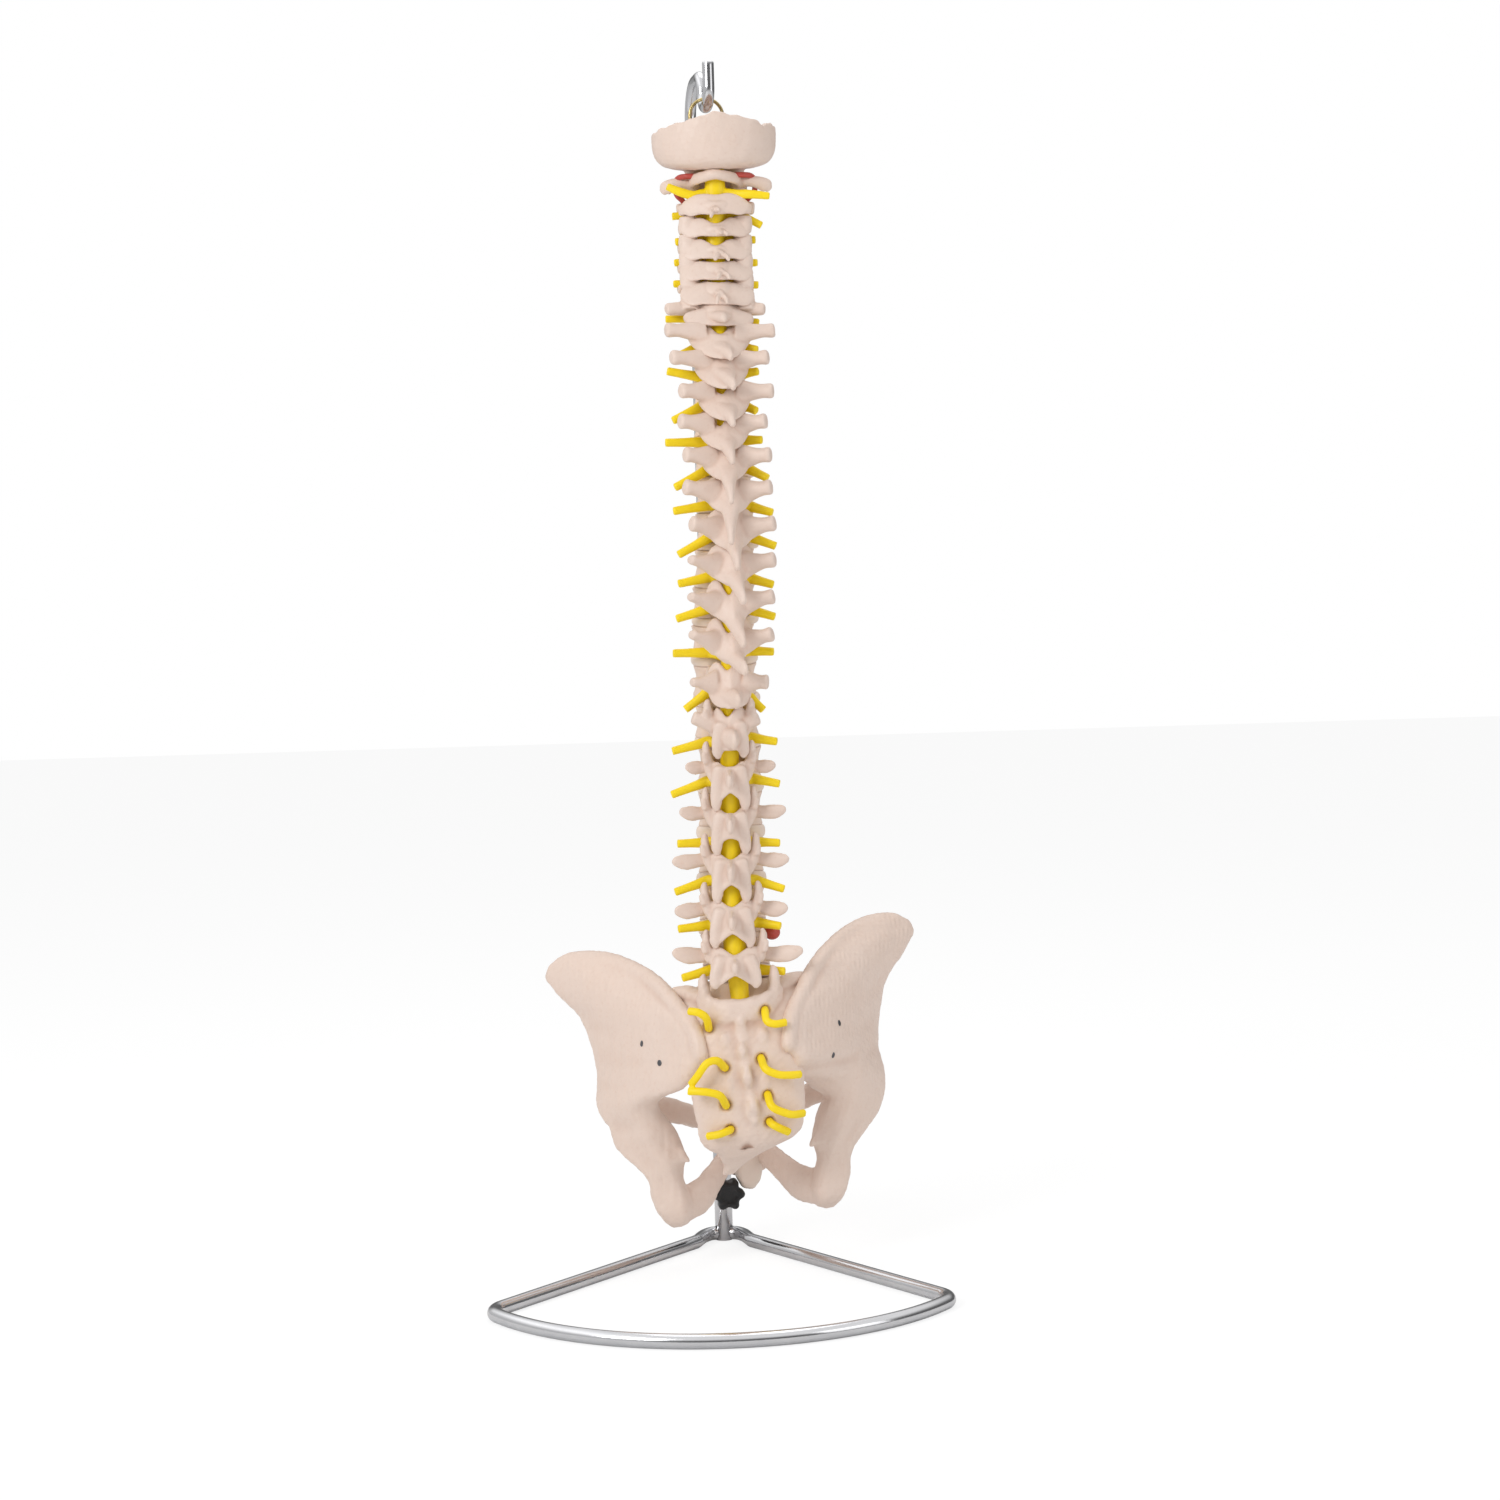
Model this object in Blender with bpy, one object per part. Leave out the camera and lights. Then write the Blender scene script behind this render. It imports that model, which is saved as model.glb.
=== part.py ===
"""A life-size teaching model of the human spine, hanging from a chromed hook stand.

The mast's axis is x = y = 0 and the floor is z = 0. The spine hangs in front of the mast, on the -Y side,
with its back to -Y. The column's centre line rises from the sacrum's plate. Each vertebra is modelled in the
frame of its level: X to the side, Y to the front of the body and Z up along the column.
"""

import math

import bmesh
import bpy
from mathutils import Matrix, Vector

# Clearances
SEAT = 0.0003
RUNNING = 0.0003

# Stand: a bent tube loop welded to an upright sleeve
TUBE_RADIUS = 0.0048
LEG_SPREAD = math.radians(35.3)
LEG_REACH = 0.2595
CORNER_RADIUS = 0.018
FRONT_REACH = 0.3015
SLEEVE_RADIUS = 0.00635
SLEEVE_HEIGHT = 0.066
SLEEVE_FLOOR = 0.0035

# Mast: a round rod bent into a hook
ROD_RADIUS = 0.0040
HOOK_TURN = math.radians(11.0)
BEND_RADIUS = 0.025
HOOK_REACH = 0.062
DIP_RADIUS = 0.012
HOOK_RISE = 0.0245
HOOK_TIP_RISE = 0.0285

# Clamp: a star knob on a threaded stud
KNOB_HEIGHT = 0.0388
KNOB_TURN = math.radians(8.0)
KNOB_RADIUS = 0.0103
KNOB_LOBE = 0.0014
KNOB_LOBES = 6
KNOB_DEPTH = 0.013
STUD_RADIUS = 0.0025

# Hanging loop
WIRE_RADIUS = 0.00115
LOOP_WIDTH = 0.023
LOOP_SINK = 0.010

# Column
PLATE_X = 0.0155
PLATE_Y = -0.092
PLATE_Z = 0.201
LUMBOSACRAL = 0.0085
NAMES = ["L5", "L4", "L3", "L2", "L1"]
NAMES += ["T%d" % number for number in range(12, 0, -1)]
NAMES += ["C%d" % number for number in range(7, 0, -1)]
# Distance up the column from the level below, or from the sacrum's plate
SPACING = {
    "L5": 0.0185, "L4": 0.0320, "L3": 0.0330, "L2": 0.0320, "L1": 0.0320, "T12": 0.0300, "T11": 0.0280,
    "T10": 0.0270, "T9": 0.0260, "T8": 0.0250, "T7": 0.0240, "T6": 0.0240, "T5": 0.0230, "T4": 0.0220,
    "T3": 0.0220, "T2": 0.0210, "T1": 0.0195, "C7": 0.0165, "C6": 0.0150, "C5": 0.0145, "C4": 0.0140,
    "C3": 0.0135, "C2": 0.0140, "C1": 0.0140,
}
# Centre line: how far forward of the sacrum's plate the bodies stand, by height
CURVE = [
    (-0.020, -0.004), (0.000, 0.000), (0.048, 0.011), (0.097, 0.0165), (0.145, 0.013), (0.230, -0.004),
    (0.317, -0.015), (0.396, -0.004), (0.453, 0.016), (0.496, 0.028), (0.538, 0.030), (0.580, 0.030),
]
# Centre line: how far it sways to the right of the sacrum's plate
SWAY = [
    (-0.020, 0.000), (0.000, 0.000), (0.048, -0.002), (0.100, -0.0015), (0.177, 0.000), (0.259, 0.003),
    (0.310, 0.005), (0.375, 0.0025), (0.400, 0.003), (0.437, 0.001), (0.496, 0.000), (0.538, 0.001),
    (0.580, 0.001),
]

# Vertebral bodies, at a few levels with the others graded between them
BODY_WIDTH = {
    "L5": 0.0480, "L1": 0.0420, "T12": 0.0400, "T8": 0.0320, "T4": 0.0270, "T1": 0.0290, "C7": 0.0270,
    "C3": 0.0200, "C1": 0.0190,
}
BODY_DEPTH = {
    "L5": 0.0330, "L1": 0.0310, "T12": 0.0300, "T8": 0.0270, "T4": 0.0210, "T1": 0.0170, "C7": 0.0160,
    "C1": 0.0145,
}
DISC_THICKNESS = {
    "L5": 0.0095, "L2": 0.0085, "T12": 0.0065, "T6": 0.0045, "T1": 0.0045, "C7": 0.0045, "C2": 0.0036,
    "C1": 0.0036,
}
WAIST = 0.90
CANAL_WIDTH = {
    "L5": 0.0240, "L1": 0.0210, "T12": 0.0195, "T9": 0.0165, "T2": 0.0170, "C7": 0.0220, "C3": 0.0225,
    "C1": 0.0270,
}
CANAL_DEPTH = {"L5": 0.0160, "L1": 0.0160, "T9": 0.0150, "C7": 0.0150, "C3": 0.0150, "C1": 0.0190}
CANAL_REACH = 0.0008

# Arches and processes
LAMINA_THICKNESS = {"L5": 0.0064, "T12": 0.0056, "T1": 0.0046, "C6": 0.0040, "C1": 0.0044}
LAMINA_HEIGHT = {
    "L5": 0.0170, "L3": 0.0210, "L1": 0.0210, "T12": 0.0210, "T6": 0.0190, "T1": 0.0150, "C7": 0.0125,
    "C3": 0.0105, "C1": 0.0085,
}
LAMINA_SLANT = {
    "L5": 0.12, "L1": 0.18, "T12": 0.28, "T10": 0.42, "T2": 0.42, "C7": 0.36, "C3": 0.30, "C1": 0.10,
}
PEDICLE_HEIGHT = {"L5": 0.0140, "L1": 0.0150, "T6": 0.0110, "T1": 0.0085, "C7": 0.0070, "C1": 0.0060}
SPINE_LENGTH = {
    "L5": 0.0140, "L4": 0.0190, "L1": 0.0200, "T12": 0.0170, "T9": 0.0200, "T5": 0.0200, "T1": 0.0210,
    "C7": 0.0180, "C6": 0.0100, "C3": 0.0060, "C2": 0.0080, "C1": 0.0030,
}
SPINE_DROP = {
    "L5": 0.004, "L4": 0.005, "L1": 0.006, "T12": 0.009, "T11": 0.015, "T10": 0.029, "T9": 0.018, "T8": 0.022,
    "T7": 0.021, "T6": 0.026, "T5": 0.029, "T4": 0.027, "T3": 0.025, "T2": 0.021, "T1": 0.014, "C7": 0.008,
    "C6": 0.004, "C1": 0.001,
}
SPINE_LEAN = {
    "L5": 0.000, "T11": 0.000, "T10": 0.009, "T9": 0.007, "T8": 0.001, "T6": 0.002, "T4": 0.006, "T2": 0.008,
    "T1": 0.009, "C7": 0.002, "C6": 0.000, "C1": 0.000,
}
SPINE_HEIGHT = {
    "L5": 0.0130, "L3": 0.0180, "L1": 0.0160, "T12": 0.0140, "T10": 0.0110, "T1": 0.0090, "C7": 0.0080,
    "C1": 0.0050,
}
SPINE_THICKNESS = {"L5": 0.0062, "T12": 0.0060, "T1": 0.0060, "C7": 0.0060, "C1": 0.0050}
# Tip to tip across the transverse processes
SPAN = {
    "L5": 0.086, "L4": 0.077, "L3": 0.080, "L2": 0.073, "L1": 0.062, "T12": 0.047, "T11": 0.053, "T10": 0.055,
    "T9": 0.057, "T8": 0.057, "T7": 0.057, "T6": 0.059, "T5": 0.058, "T4": 0.059, "T3": 0.063, "T2": 0.066,
    "T1": 0.074, "C7": 0.067, "C6": 0.052, "C5": 0.051, "C4": 0.050, "C3": 0.049, "C2": 0.053, "C1": 0.076,
}
TIP_RISE = {
    "L5": 0.006, "L4": -0.002, "L1": -0.001, "T12": 0.003, "T11": 0.000, "T10": 0.004, "T1": 0.002,
    "C7": -0.001, "C6": 0.000, "C1": 0.000,
}
TIP_BACK = {
    "L5": 0.002, "L1": 0.003, "T12": 0.006, "T10": 0.013, "T2": 0.012, "T1": 0.008, "C7": 0.002,
    "C6": -0.0098, "C2": -0.0098, "C1": -0.009,
}
TIP_RADIUS = {
    "L5": 0.0050, "L1": 0.0042, "T12": 0.0048, "T1": 0.0050, "C7": 0.0046, "C6": 0.0042, "C1": 0.0046,
}

# Cord, nerves and arteries
CORD_RADIUS = {"L5": 0.0056, "T12": 0.0050, "T6": 0.0043, "T1": 0.0046, "C6": 0.0056, "C1": 0.0058}
NERVE_ROOT = 0.0026
NERVE_TIP = 0.0021
# Each nerve's tip, out from the column's centre and up from its disc: left out, left up, right out, right up
NERVES = {
    "L5": (0.040, -0.002, 0.036, 0.003), "L4": (0.040, -0.001, 0.036, 0.001),
    "L3": (0.041, -0.003, 0.038, -0.002), "L2": (0.040, 0.002, 0.035, 0.001),
    "L1": (0.044, -0.004, 0.036, 0.003), "T12": (0.042, 0.001, 0.035, 0.004),
    "T11": (0.035, -0.010, 0.026, -0.009), "T10": (0.042, 0.002, 0.031, 0.002),
    "T9": (0.039, -0.001, 0.031, -0.001), "T8": (0.038, 0.001, 0.031, 0.001),
    "T7": (0.038, -0.004, 0.031, 0.001), "T6": (0.041, 0.003, 0.031, 0.001),
    "T5": (0.039, -0.004, 0.029, -0.001), "T4": (0.045, 0.003, 0.030, 0.000),
    "T3": (0.038, -0.002, 0.027, -0.001), "T2": (0.043, 0.004, 0.027, 0.002),
    "T1": (0.037, 0.001, 0.029, 0.001), "C7": (0.034, 0.001, 0.029, 0.001),
    "C6": (0.030, 0.001, 0.028, 0.001), "C5": (0.029, 0.001, 0.028, 0.000),
    "C4": (0.029, 0.000, 0.028, 0.001), "C3": (0.029, 0.001, 0.029, 0.001),
    "C2": (0.028, 0.002, 0.031, 0.001), "C1": (0.034, 0.005, 0.036, -0.002),
}
ARTERY_RADIUS = 0.0019
CORE_RADIUS = 0.0026
PROLAPSE_RADIUS = 0.0044
PROLAPSE_BACK = 0.20

# Pelvis, in the frame of the sacrum's plate
PELVIS_ROLL = math.radians(5.2)
PELVIS_YAW = math.radians(3.0)
BONE = (0.83, 0.66, 0.57)

# Level forms: drop of the lamina below the body's centre, and the joint processes
LAMINA_DROP = {
    "L5": 0.0060, "L4": 0.0085, "L1": 0.0085, "T12": 0.0075, "T10": 0.0055, "T2": 0.0050, "T1": 0.0035,
    "C7": 0.0015, "C1": 0.0000,
}
JOINT_GAP = 0.0005
PILLAR_X = {"C7": 0.0185, "C2": 0.0185}
PILLAR_WIDTH = 0.0125
PILLAR_DEPTH = 0.0094
UPPER_X = {"L5": 0.0205, "L3": 0.0192, "L1": 0.0172, "T12": 0.0165, "T11": 0.0112, "T1": 0.0112}
UPPER_TOP = {"L5": 0.0180, "L1": 0.0175, "T12": 0.0165, "T11": 0.0130, "T1": 0.0098}
UPPER_BACK = {"L5": 0.0060, "T12": 0.0055, "T11": 0.0030, "T1": 0.0030}
LOWER_X = {"L5": 0.0125, "L4": 0.0110, "L1": 0.0090, "T12": 0.0086, "T11": 0.0080}
LOWER_BOTTOM = {"L5": 0.0190, "L4": 0.0225, "L1": 0.0240, "T12": 0.0235, "T11": 0.0200}
OUTLINE_SIDES = 10
# Keeps the arch's ridge off the spinous process's, so that their edges cross cleanly
MIDLINE_SHIFT = 0.0005

# The two top levels, which turn the head
DENS_RADIUS = 0.0050
DENS_TOP = 0.0195
MASS_X = 0.0152
ATLAS_FRONT = 0.0100
ATLAS_HALF_HEIGHT = 0.0064

# Pelvis, in the frame of the sacrum's plate: X to the side, Y to the front
DISC_BULGE = 1.03
# Sacrum and tail bone: height, forward, aside, half width, half depth
SACRUM = [
    (-0.008, -0.004, 0.000, 0.0430, 0.0165), (-0.018, -0.012, 0.000, 0.0430, 0.0225),
    (-0.038, -0.024, 0.000, 0.0400, 0.0205), (-0.062, -0.034, 0.000, 0.0390, 0.0155),
    (-0.088, -0.038, -0.001, 0.0360, 0.0120), (-0.104, -0.036, -0.003, 0.0260, 0.0090),
    (-0.113, -0.030, -0.006, 0.0140, 0.0062), (-0.122, -0.022, -0.011, 0.0085, 0.0048),
    (-0.131, -0.013, -0.016, 0.0045, 0.0034),
]
SACRUM_SIDES = 16
SACRUM_SKIN = 0.0003
SACRAL_CANAL = [
    ((0.0, -0.0235, 0.012), 0.0078), ((0.0, -0.0255, -0.012), 0.0072), ((0.0, -0.0370, -0.038), 0.0058),
    ((0.0, -0.0430, -0.062), 0.0046), ((0.0, -0.0450, -0.088), 0.0042), ((0.0005, -0.0470, -0.112), 0.0040),
]
# Rear openings of the sacrum: aside, back, up
FORAMINA = [
    (0.0175, -0.0370, -0.027), (0.0150, -0.0480, -0.057), (0.0155, -0.0500, -0.080),
    (0.0140, -0.0470, -0.099),
]
FORAMEN_RADIUS = 0.0034
# Where the rear nerves end: left, then right
REAR_TIPS = [
    ((-0.0350, -0.0440, -0.016), (0.0290, -0.0440, -0.030)), (
        (-0.0380, -0.0535, -0.062), (0.0360, -0.0535, -0.065),
    ),
    ((-0.0410, -0.0545, -0.068), (0.0340, -0.0500, -0.092)), (
        (-0.0320, -0.0450, -0.101), (0.0230, -0.0470, -0.104),
    ),
]
# Hip blade from back to front: crest, root, then thickness at the crest, the middle and the root
BLADE = [
    ((0.029, -0.0440, -0.044), (0.044, -0.0380, -0.070), 0.0070, 0.0085, 0.0070),
    ((0.032, -0.0395, -0.029), (0.050, -0.0260, -0.076), 0.0100, 0.0110, 0.0110),
    ((0.045, -0.0170, -0.008), (0.060, -0.0070, -0.076), 0.0100, 0.0100, 0.0160),
    ((0.062, 0.0060, 0.008), (0.072, 0.0120, -0.084), 0.0090, 0.0055, 0.0200),
    ((0.079, 0.0250, 0.018), (0.080, 0.0240, -0.092), 0.0090, 0.0045, 0.0200),
    ((0.098, 0.0430, 0.023), (0.086, 0.0360, -0.090), 0.0090, 0.0050, 0.0170),
    ((0.116, 0.0560, 0.020), (0.092, 0.0440, -0.080), 0.0090, 0.0060, 0.0130),
    ((0.129, 0.0640, 0.004), (0.101, 0.0500, -0.054), 0.0080, 0.0080, 0.0090),
]
BLADE_BOW = 0.005
SOCKET = (0.0730, 0.0330, -0.100)
SOCKET_BLOCK = 0.0250
SOCKET_CUP = 0.0200
CUP_PLACE = (0.0930, 0.0420, -0.106)
ISCHIUM = [
    ((0.071, 0.0270, -0.105), 0.0165, 0.0150), ((0.062, 0.0150, -0.130), 0.0115, 0.0115),
    ((0.055, 0.0080, -0.150), 0.0125, 0.0125), ((0.049, 0.0090, -0.164), 0.0100, 0.0095),
]
ISCHIAL_SPINE = [((0.062, 0.0100, -0.110), 0.0070, 0.0060), ((0.038, -0.0040, -0.119), 0.0022, 0.0026)]
LOWER_RAMUS = [
    ((0.050, 0.0100, -0.160), 0.0085, 0.0100), ((0.036, 0.0270, -0.161), 0.0050, 0.0085),
    ((0.022, 0.0440, -0.149), 0.0046, 0.0080), ((0.0125, 0.0620, -0.134), 0.0060, 0.0095),
]
UPPER_RAMUS = [
    ((0.068, 0.0440, -0.096), 0.0110, 0.0120), ((0.044, 0.0580, -0.104), 0.0068, 0.0072),
    ((0.022, 0.0670, -0.110), 0.0060, 0.0072), ((0.0110, 0.0700, -0.118), 0.0060, 0.0080),
]
PUBIC_HALF_GAP = 0.0045
PUBIC_PLACE = (0.070, -0.126)
PUBIC_HALF_DEPTH = 0.0075
PUBIC_HALF_HEIGHT = 0.0180
SYMPHYSIS_OVERHANG = 0.0035

# Occiput: height above its base, half width, half depth, from the sill up outside and down inside
BOWL_PLACE = (0.0165, -0.066)
SKULL_RISE = 0.0087
SKULL_BASE = PLATE_Z + sum(SPACING.values()) + SKULL_RISE
BOWL_OUT = [
    (0.0000, 0.024, 0.020), (0.0012, 0.033, 0.028), (0.0063, 0.0390, 0.034), (0.0158, 0.0415, 0.037),
    (0.0258, 0.0425, 0.038), (0.0338, 0.0425, 0.038),
]
BOWL_IN = [(0.0338, 0.038, 0.0335), (0.0178, 0.0365, 0.032), (0.0098, 0.031, 0.027), (0.0063, 0.022, 0.019)]
BOWL_SIDES = 16
BOWL_WAVE = 0.0022
BOSS_RADIUS = 0.0165
BOSS_TOP = SKULL_BASE + 0.0278
# The rod's dip hangs clear above the boss, and the hook's other heights follow it
DIP_HEIGHT = BOSS_TOP + 0.0195
HOOK_TOP = DIP_HEIGHT + HOOK_RISE
TIP_HEIGHT = DIP_HEIGHT + HOOK_TIP_RISE
MAGNUM = (0.0130, 0.0125)

# The way of the cord through the skull's opening, and of the loop's legs into the boss
BOSS_PLACE = (HOOK_REACH * math.sin(HOOK_TURN), -HOOK_REACH * math.cos(HOOK_TURN))
BOSS_DEPTH = 0.0090
SKULL_TOP = SKULL_BASE + 0.0078
CORE_TOP = SKULL_BASE + 0.0158
CORE_BOTTOM = -0.022

# Clamp: the welded nut, and the knob's hub and star along its axis
NUT_RADIUS = 0.0050
NUT_REACH = 0.0120
HUB_RADIUS = 0.0060
HUB_START = 0.0165
STAR_START = 0.0230
KNOB_SIDES = 36


def graded(sizes, name):
    """A size at one level, graded evenly between the levels that are given."""
    level = NAMES.index(name)
    given = sorted((NAMES.index(key), value) for key, value in sizes.items())
    for (low, first), (high, last) in zip(given, given[1:]):
        if low <= level <= high:
            return first + (last - first) * (level - low) / (high - low)
    return given[0][1] if level < given[0][0] else given[-1][1]


def smooth(points, at):
    """A smooth curve through (position, value) points: a cubic Hermite with the points' mean slopes."""
    slopes = []
    for index in range(len(points)):
        low = points[max(index - 1, 0)]
        high = points[min(index + 1, len(points) - 1)]
        slopes.append((high[1] - low[1]) / (high[0] - low[0]))
    for index in range(len(points) - 1):
        start, first = points[index]
        end, last = points[index + 1]
        if at <= end or index == len(points) - 2:
            run = end - start
            t = (at - start) / run
            return (
                first * (2 * t**3 - 3 * t**2 + 1)
                + slopes[index] * run * (t**3 - 2 * t**2 + t)
                + last * (3 * t**2 - 2 * t**3)
                + slopes[index + 1] * run * (t**3 - t**2)
            )


def column_frame(rise):
    """The frame on the column's centre line at this height above the sacrum's plate: Z along the line."""
    step = 0.002
    lean = (smooth(CURVE, rise + step) - smooth(CURVE, rise - step)) / (2 * step)
    place = Vector((PLATE_X + smooth(SWAY, rise), PLATE_Y + smooth(CURVE, rise), PLATE_Z + rise))
    return Matrix.Translation(place) @ Matrix.Rotation(-math.atan(lean), 4, "X")


def rise_of(name):
    return sum(SPACING[other] for other in NAMES[: NAMES.index(name) + 1])


def gap_above(name):
    """The height of the middle of the space between this level and the next one up."""
    if name == "C1":
        return rise_of(name) + SPACING[name] / 2
    return rise_of(name) + SPACING[NAMES[NAMES.index(name) + 1]] / 2


def gap_below(name):
    level = NAMES.index(name)
    return LUMBOSACRAL / 2 if level == 0 else gap_above(NAMES[level - 1])


def disc_above(name):
    return graded(DISC_THICKNESS, name)


def disc_below(name):
    level = NAMES.index(name)
    return LUMBOSACRAL if level == 0 else disc_above(NAMES[level - 1])


def clear_scene():
    for obj in list(bpy.data.objects):
        bpy.data.objects.remove(obj, do_unlink=True)


def collection(name, parent=None):
    made = bpy.data.collections.new(name)
    (parent or bpy.context.scene.collection).children.link(made)
    return made


def material(name, colour, roughness, metallic=0.0, alpha=1.0):
    made = bpy.data.materials.new(name)
    made.use_nodes = True
    shader = made.node_tree.nodes["Principled BSDF"]
    shader.inputs["Base Color"].default_value = (*colour, 1.0)
    shader.inputs["Roughness"].default_value = roughness
    shader.inputs["Metallic"].default_value = metallic
    shader.inputs["Alpha"].default_value = alpha
    return made


def mesh_object(name, mesh, owner, surface=None, smoothing=35.0):
    obj = bpy.data.objects.new(name, mesh)
    owner.objects.link(obj)
    if surface:
        mesh.materials.append(surface)
        mesh.shade_smooth()
        mesh.set_sharp_from_angle(angle=math.radians(smoothing))
    return obj


def loft(name, rings, closed=False):
    """A mesh skinned over rings of points, with flat ends, or joined end to end."""
    mesh = bpy.data.meshes.new(name)
    bm = bmesh.new()
    made = [[bm.verts.new(point) for point in ring] for ring in rings]
    pairs = list(zip(made, made[1:])) + ([(made[-1], made[0])] if closed else [])
    for low, high in pairs:
        for index in range(len(low)):
            following = (index + 1) % len(low)
            bm.faces.new((low[index], low[following], high[following], high[index]))
    if not closed:
        bm.faces.new(made[0])
        bm.faces.new(made[-1])
    bmesh.ops.recalc_face_normals(bm, faces=bm.faces)
    bm.to_mesh(mesh)
    bm.free()
    return mesh


def limb(name, stations, sides=6, flat=(0.0, 0.0, 1.0), sheared=False):
    """A branch of bone: ovals along a path, each station being (point, half thickness, half height).

    The ovals stand square to the path, or all along the flat direction when sheared.
    """
    rings = []
    points = [Vector(station[0]) for station in stations]
    for index, (_, thickness, height) in enumerate(stations):
        ahead = points[min(index + 1, len(points) - 1)] - points[max(index - 1, 0)]
        side = Vector(flat).cross(ahead).normalized()
        up = Vector(flat) if sheared else ahead.cross(side).normalized()
        ring = []
        for turn in range(sides):
            angle = 2 * math.pi * (turn + 0.5) / sides
            ring.append(points[index] + side * thickness * math.cos(angle) + up * height * math.sin(angle))
        rings.append(ring)
    return loft(name, rings)


def mirrored(stations):
    return [((-x, y, z), thickness, height) for (x, y, z), thickness, height in stations]


def join(obj, meshes, forms, frame=None):
    """Unites these meshes with the object, by a Boolean modifier on a collection of hidden forms."""
    group = collection(obj.name + " forms", forms)
    for number, mesh in enumerate(meshes):
        part = bpy.data.objects.new("%s form %d" % (obj.name, number), mesh)
        part.matrix_world = frame or Matrix.Identity(4)
        part.hide_render = True
        part.display_type = "WIRE"
        group.objects.link(part)
    union = obj.modifiers.new("Union", "BOOLEAN")
    union.operation = "UNION"
    union.operand_type = "COLLECTION"
    union.collection = group
    union.solver = "EXACT"


def cut(obj, name, mesh, forms, frame=None):
    cutter = bpy.data.objects.new(name, mesh)
    cutter.matrix_world = frame or Matrix.Identity(4)
    cutter.hide_render = True
    cutter.display_type = "WIRE"
    forms.objects.link(cutter)
    difference = obj.modifiers.new(name, "BOOLEAN")
    difference.operation = "DIFFERENCE"
    difference.object = cutter
    difference.solver = "EXACT"


def lighten(obj, share):
    """Keeps this share of the facets that the joins leave, losing the thinnest first."""
    decimate = obj.modifiers.new("Lighten", "DECIMATE")
    decimate.decimate_type = "COLLAPSE"
    decimate.ratio = share


def tube(name, points, radius, resolution, cyclic=False):
    """A bent tube or wire: a bevelled curve made a mesh, with its caps welded."""
    data = bpy.data.curves.new(name, "CURVE")
    data.dimensions = "3D"
    data.bevel_depth = radius
    data.bevel_resolution = resolution
    data.use_fill_caps = True
    spline = data.splines.new("POLY")
    spline.points.add(len(points) - 1)
    for point, place in zip(spline.points, points):
        point.co = (*place, 1.0)
    spline.use_cyclic_u = cyclic
    curve = bpy.data.objects.new(name + " curve", data)
    bpy.context.scene.collection.objects.link(curve)
    bpy.context.view_layer.update()
    mesh = bpy.data.meshes.new_from_object(curve.evaluated_get(bpy.context.evaluated_depsgraph_get()))
    bpy.data.objects.remove(curve, do_unlink=True)
    bm = bmesh.new()
    bm.from_mesh(mesh)
    bmesh.ops.remove_doubles(bm, verts=bm.verts, dist=0.000001)
    bm.to_mesh(mesh)
    bm.free()
    mesh.name = name
    return mesh


def arc(centre, radius, start, end, steps, axis_u, axis_v):
    """Points along an arc in the plane of two unit vectors, angles in radians from the first."""
    points = []
    for step in range(steps + 1):
        angle = start + (end - start) * step / steps
        points.append(Vector(centre) + axis_u * radius * math.cos(angle) + axis_v * radius * math.sin(angle))
    return points


def kidney(width, depth, height, sides=OUTLINE_SIDES):
    """A vertebral body's outline: an oval, flatter and a little hollow at the back."""
    ring = []
    for turn in range(sides):
        angle = 2 * math.pi * (turn + 0.5) / sides
        x = width / 2 * math.cos(angle)
        y = depth / 2 * math.sin(angle)
        if y < 0:
            y *= 0.94 - 0.12 * max(0.0, -math.sin(angle)) ** 5
        ring.append(Vector((x, y, height)))
    return ring


def canal_y(name):
    return -graded(BODY_DEPTH, name) / 2 - CANAL_REACH - graded(CANAL_DEPTH, name) / 2


def body_mesh(name):
    """The body between its two end plates, narrower at the waist, in its level's frame."""
    width, depth = graded(BODY_WIDTH, name), graded(BODY_DEPTH, name)
    home = column_frame(rise_of(name)).inverted()
    low = gap_below(name) + disc_below(name) / 2
    high = gap_above(name) - disc_above(name) / 2
    if name == "C2":
        high = rise_of(name) + 0.005
    rings = []
    for rise, share in (
        (low, 1.0), (low * 0.72 + high * 0.28, WAIST), (low * 0.28 + high * 0.72, WAIST), (high, 0.98),
    ):
        place = home @ column_frame(rise)
        rings.append([place @ point for point in kidney(width * share, depth * share, 0.0)])
    return loft(name + " body", rings)


def arch_mesh(name):
    """The bony arch round the canal: both pedicles and both laminae as one swept band."""
    width, depth = graded(CANAL_WIDTH, name), graded(CANAL_DEPTH, name)
    thick, tall = graded(LAMINA_THICKNESS, name), graded(LAMINA_HEIGHT, name)
    pedicle, drop = graded(PEDICLE_HEIGHT, name), graded(LAMINA_DROP, name)
    slant, centre = graded(LAMINA_SLANT, name), canal_y(name)
    front = -graded(BODY_DEPTH, name) / 2
    lift = graded(SPACING, name) * 0.12
    side = width / 2 + thick / 2
    half = [
        (
            (-min(side, graded(BODY_WIDTH, name) / 2 - 0.0035), front * 0.45, lift), thick * 0.50,
            pedicle * 0.45,
        ),
        ((-side, front - 0.0020, lift), thick * 0.55, pedicle / 2),
        ((-side, centre, -drop * 0.25), thick * 0.60, min(tall * 0.36, pedicle * 0.62)),
        ((-width * 0.29, centre - depth / 2 - thick * 0.25, -drop), thick * 0.52, tall / 2),
    ]
    middle = [((MIDLINE_SHIFT, centre - depth / 2 - thick * 0.62, -drop), thick * 0.56, tall * 0.47)]
    flat = (0.0, math.sin(slant), math.cos(slant))
    return limb(name + " arch", half + middle + mirrored(half)[::-1], flat=flat, sheared=True)


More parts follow.
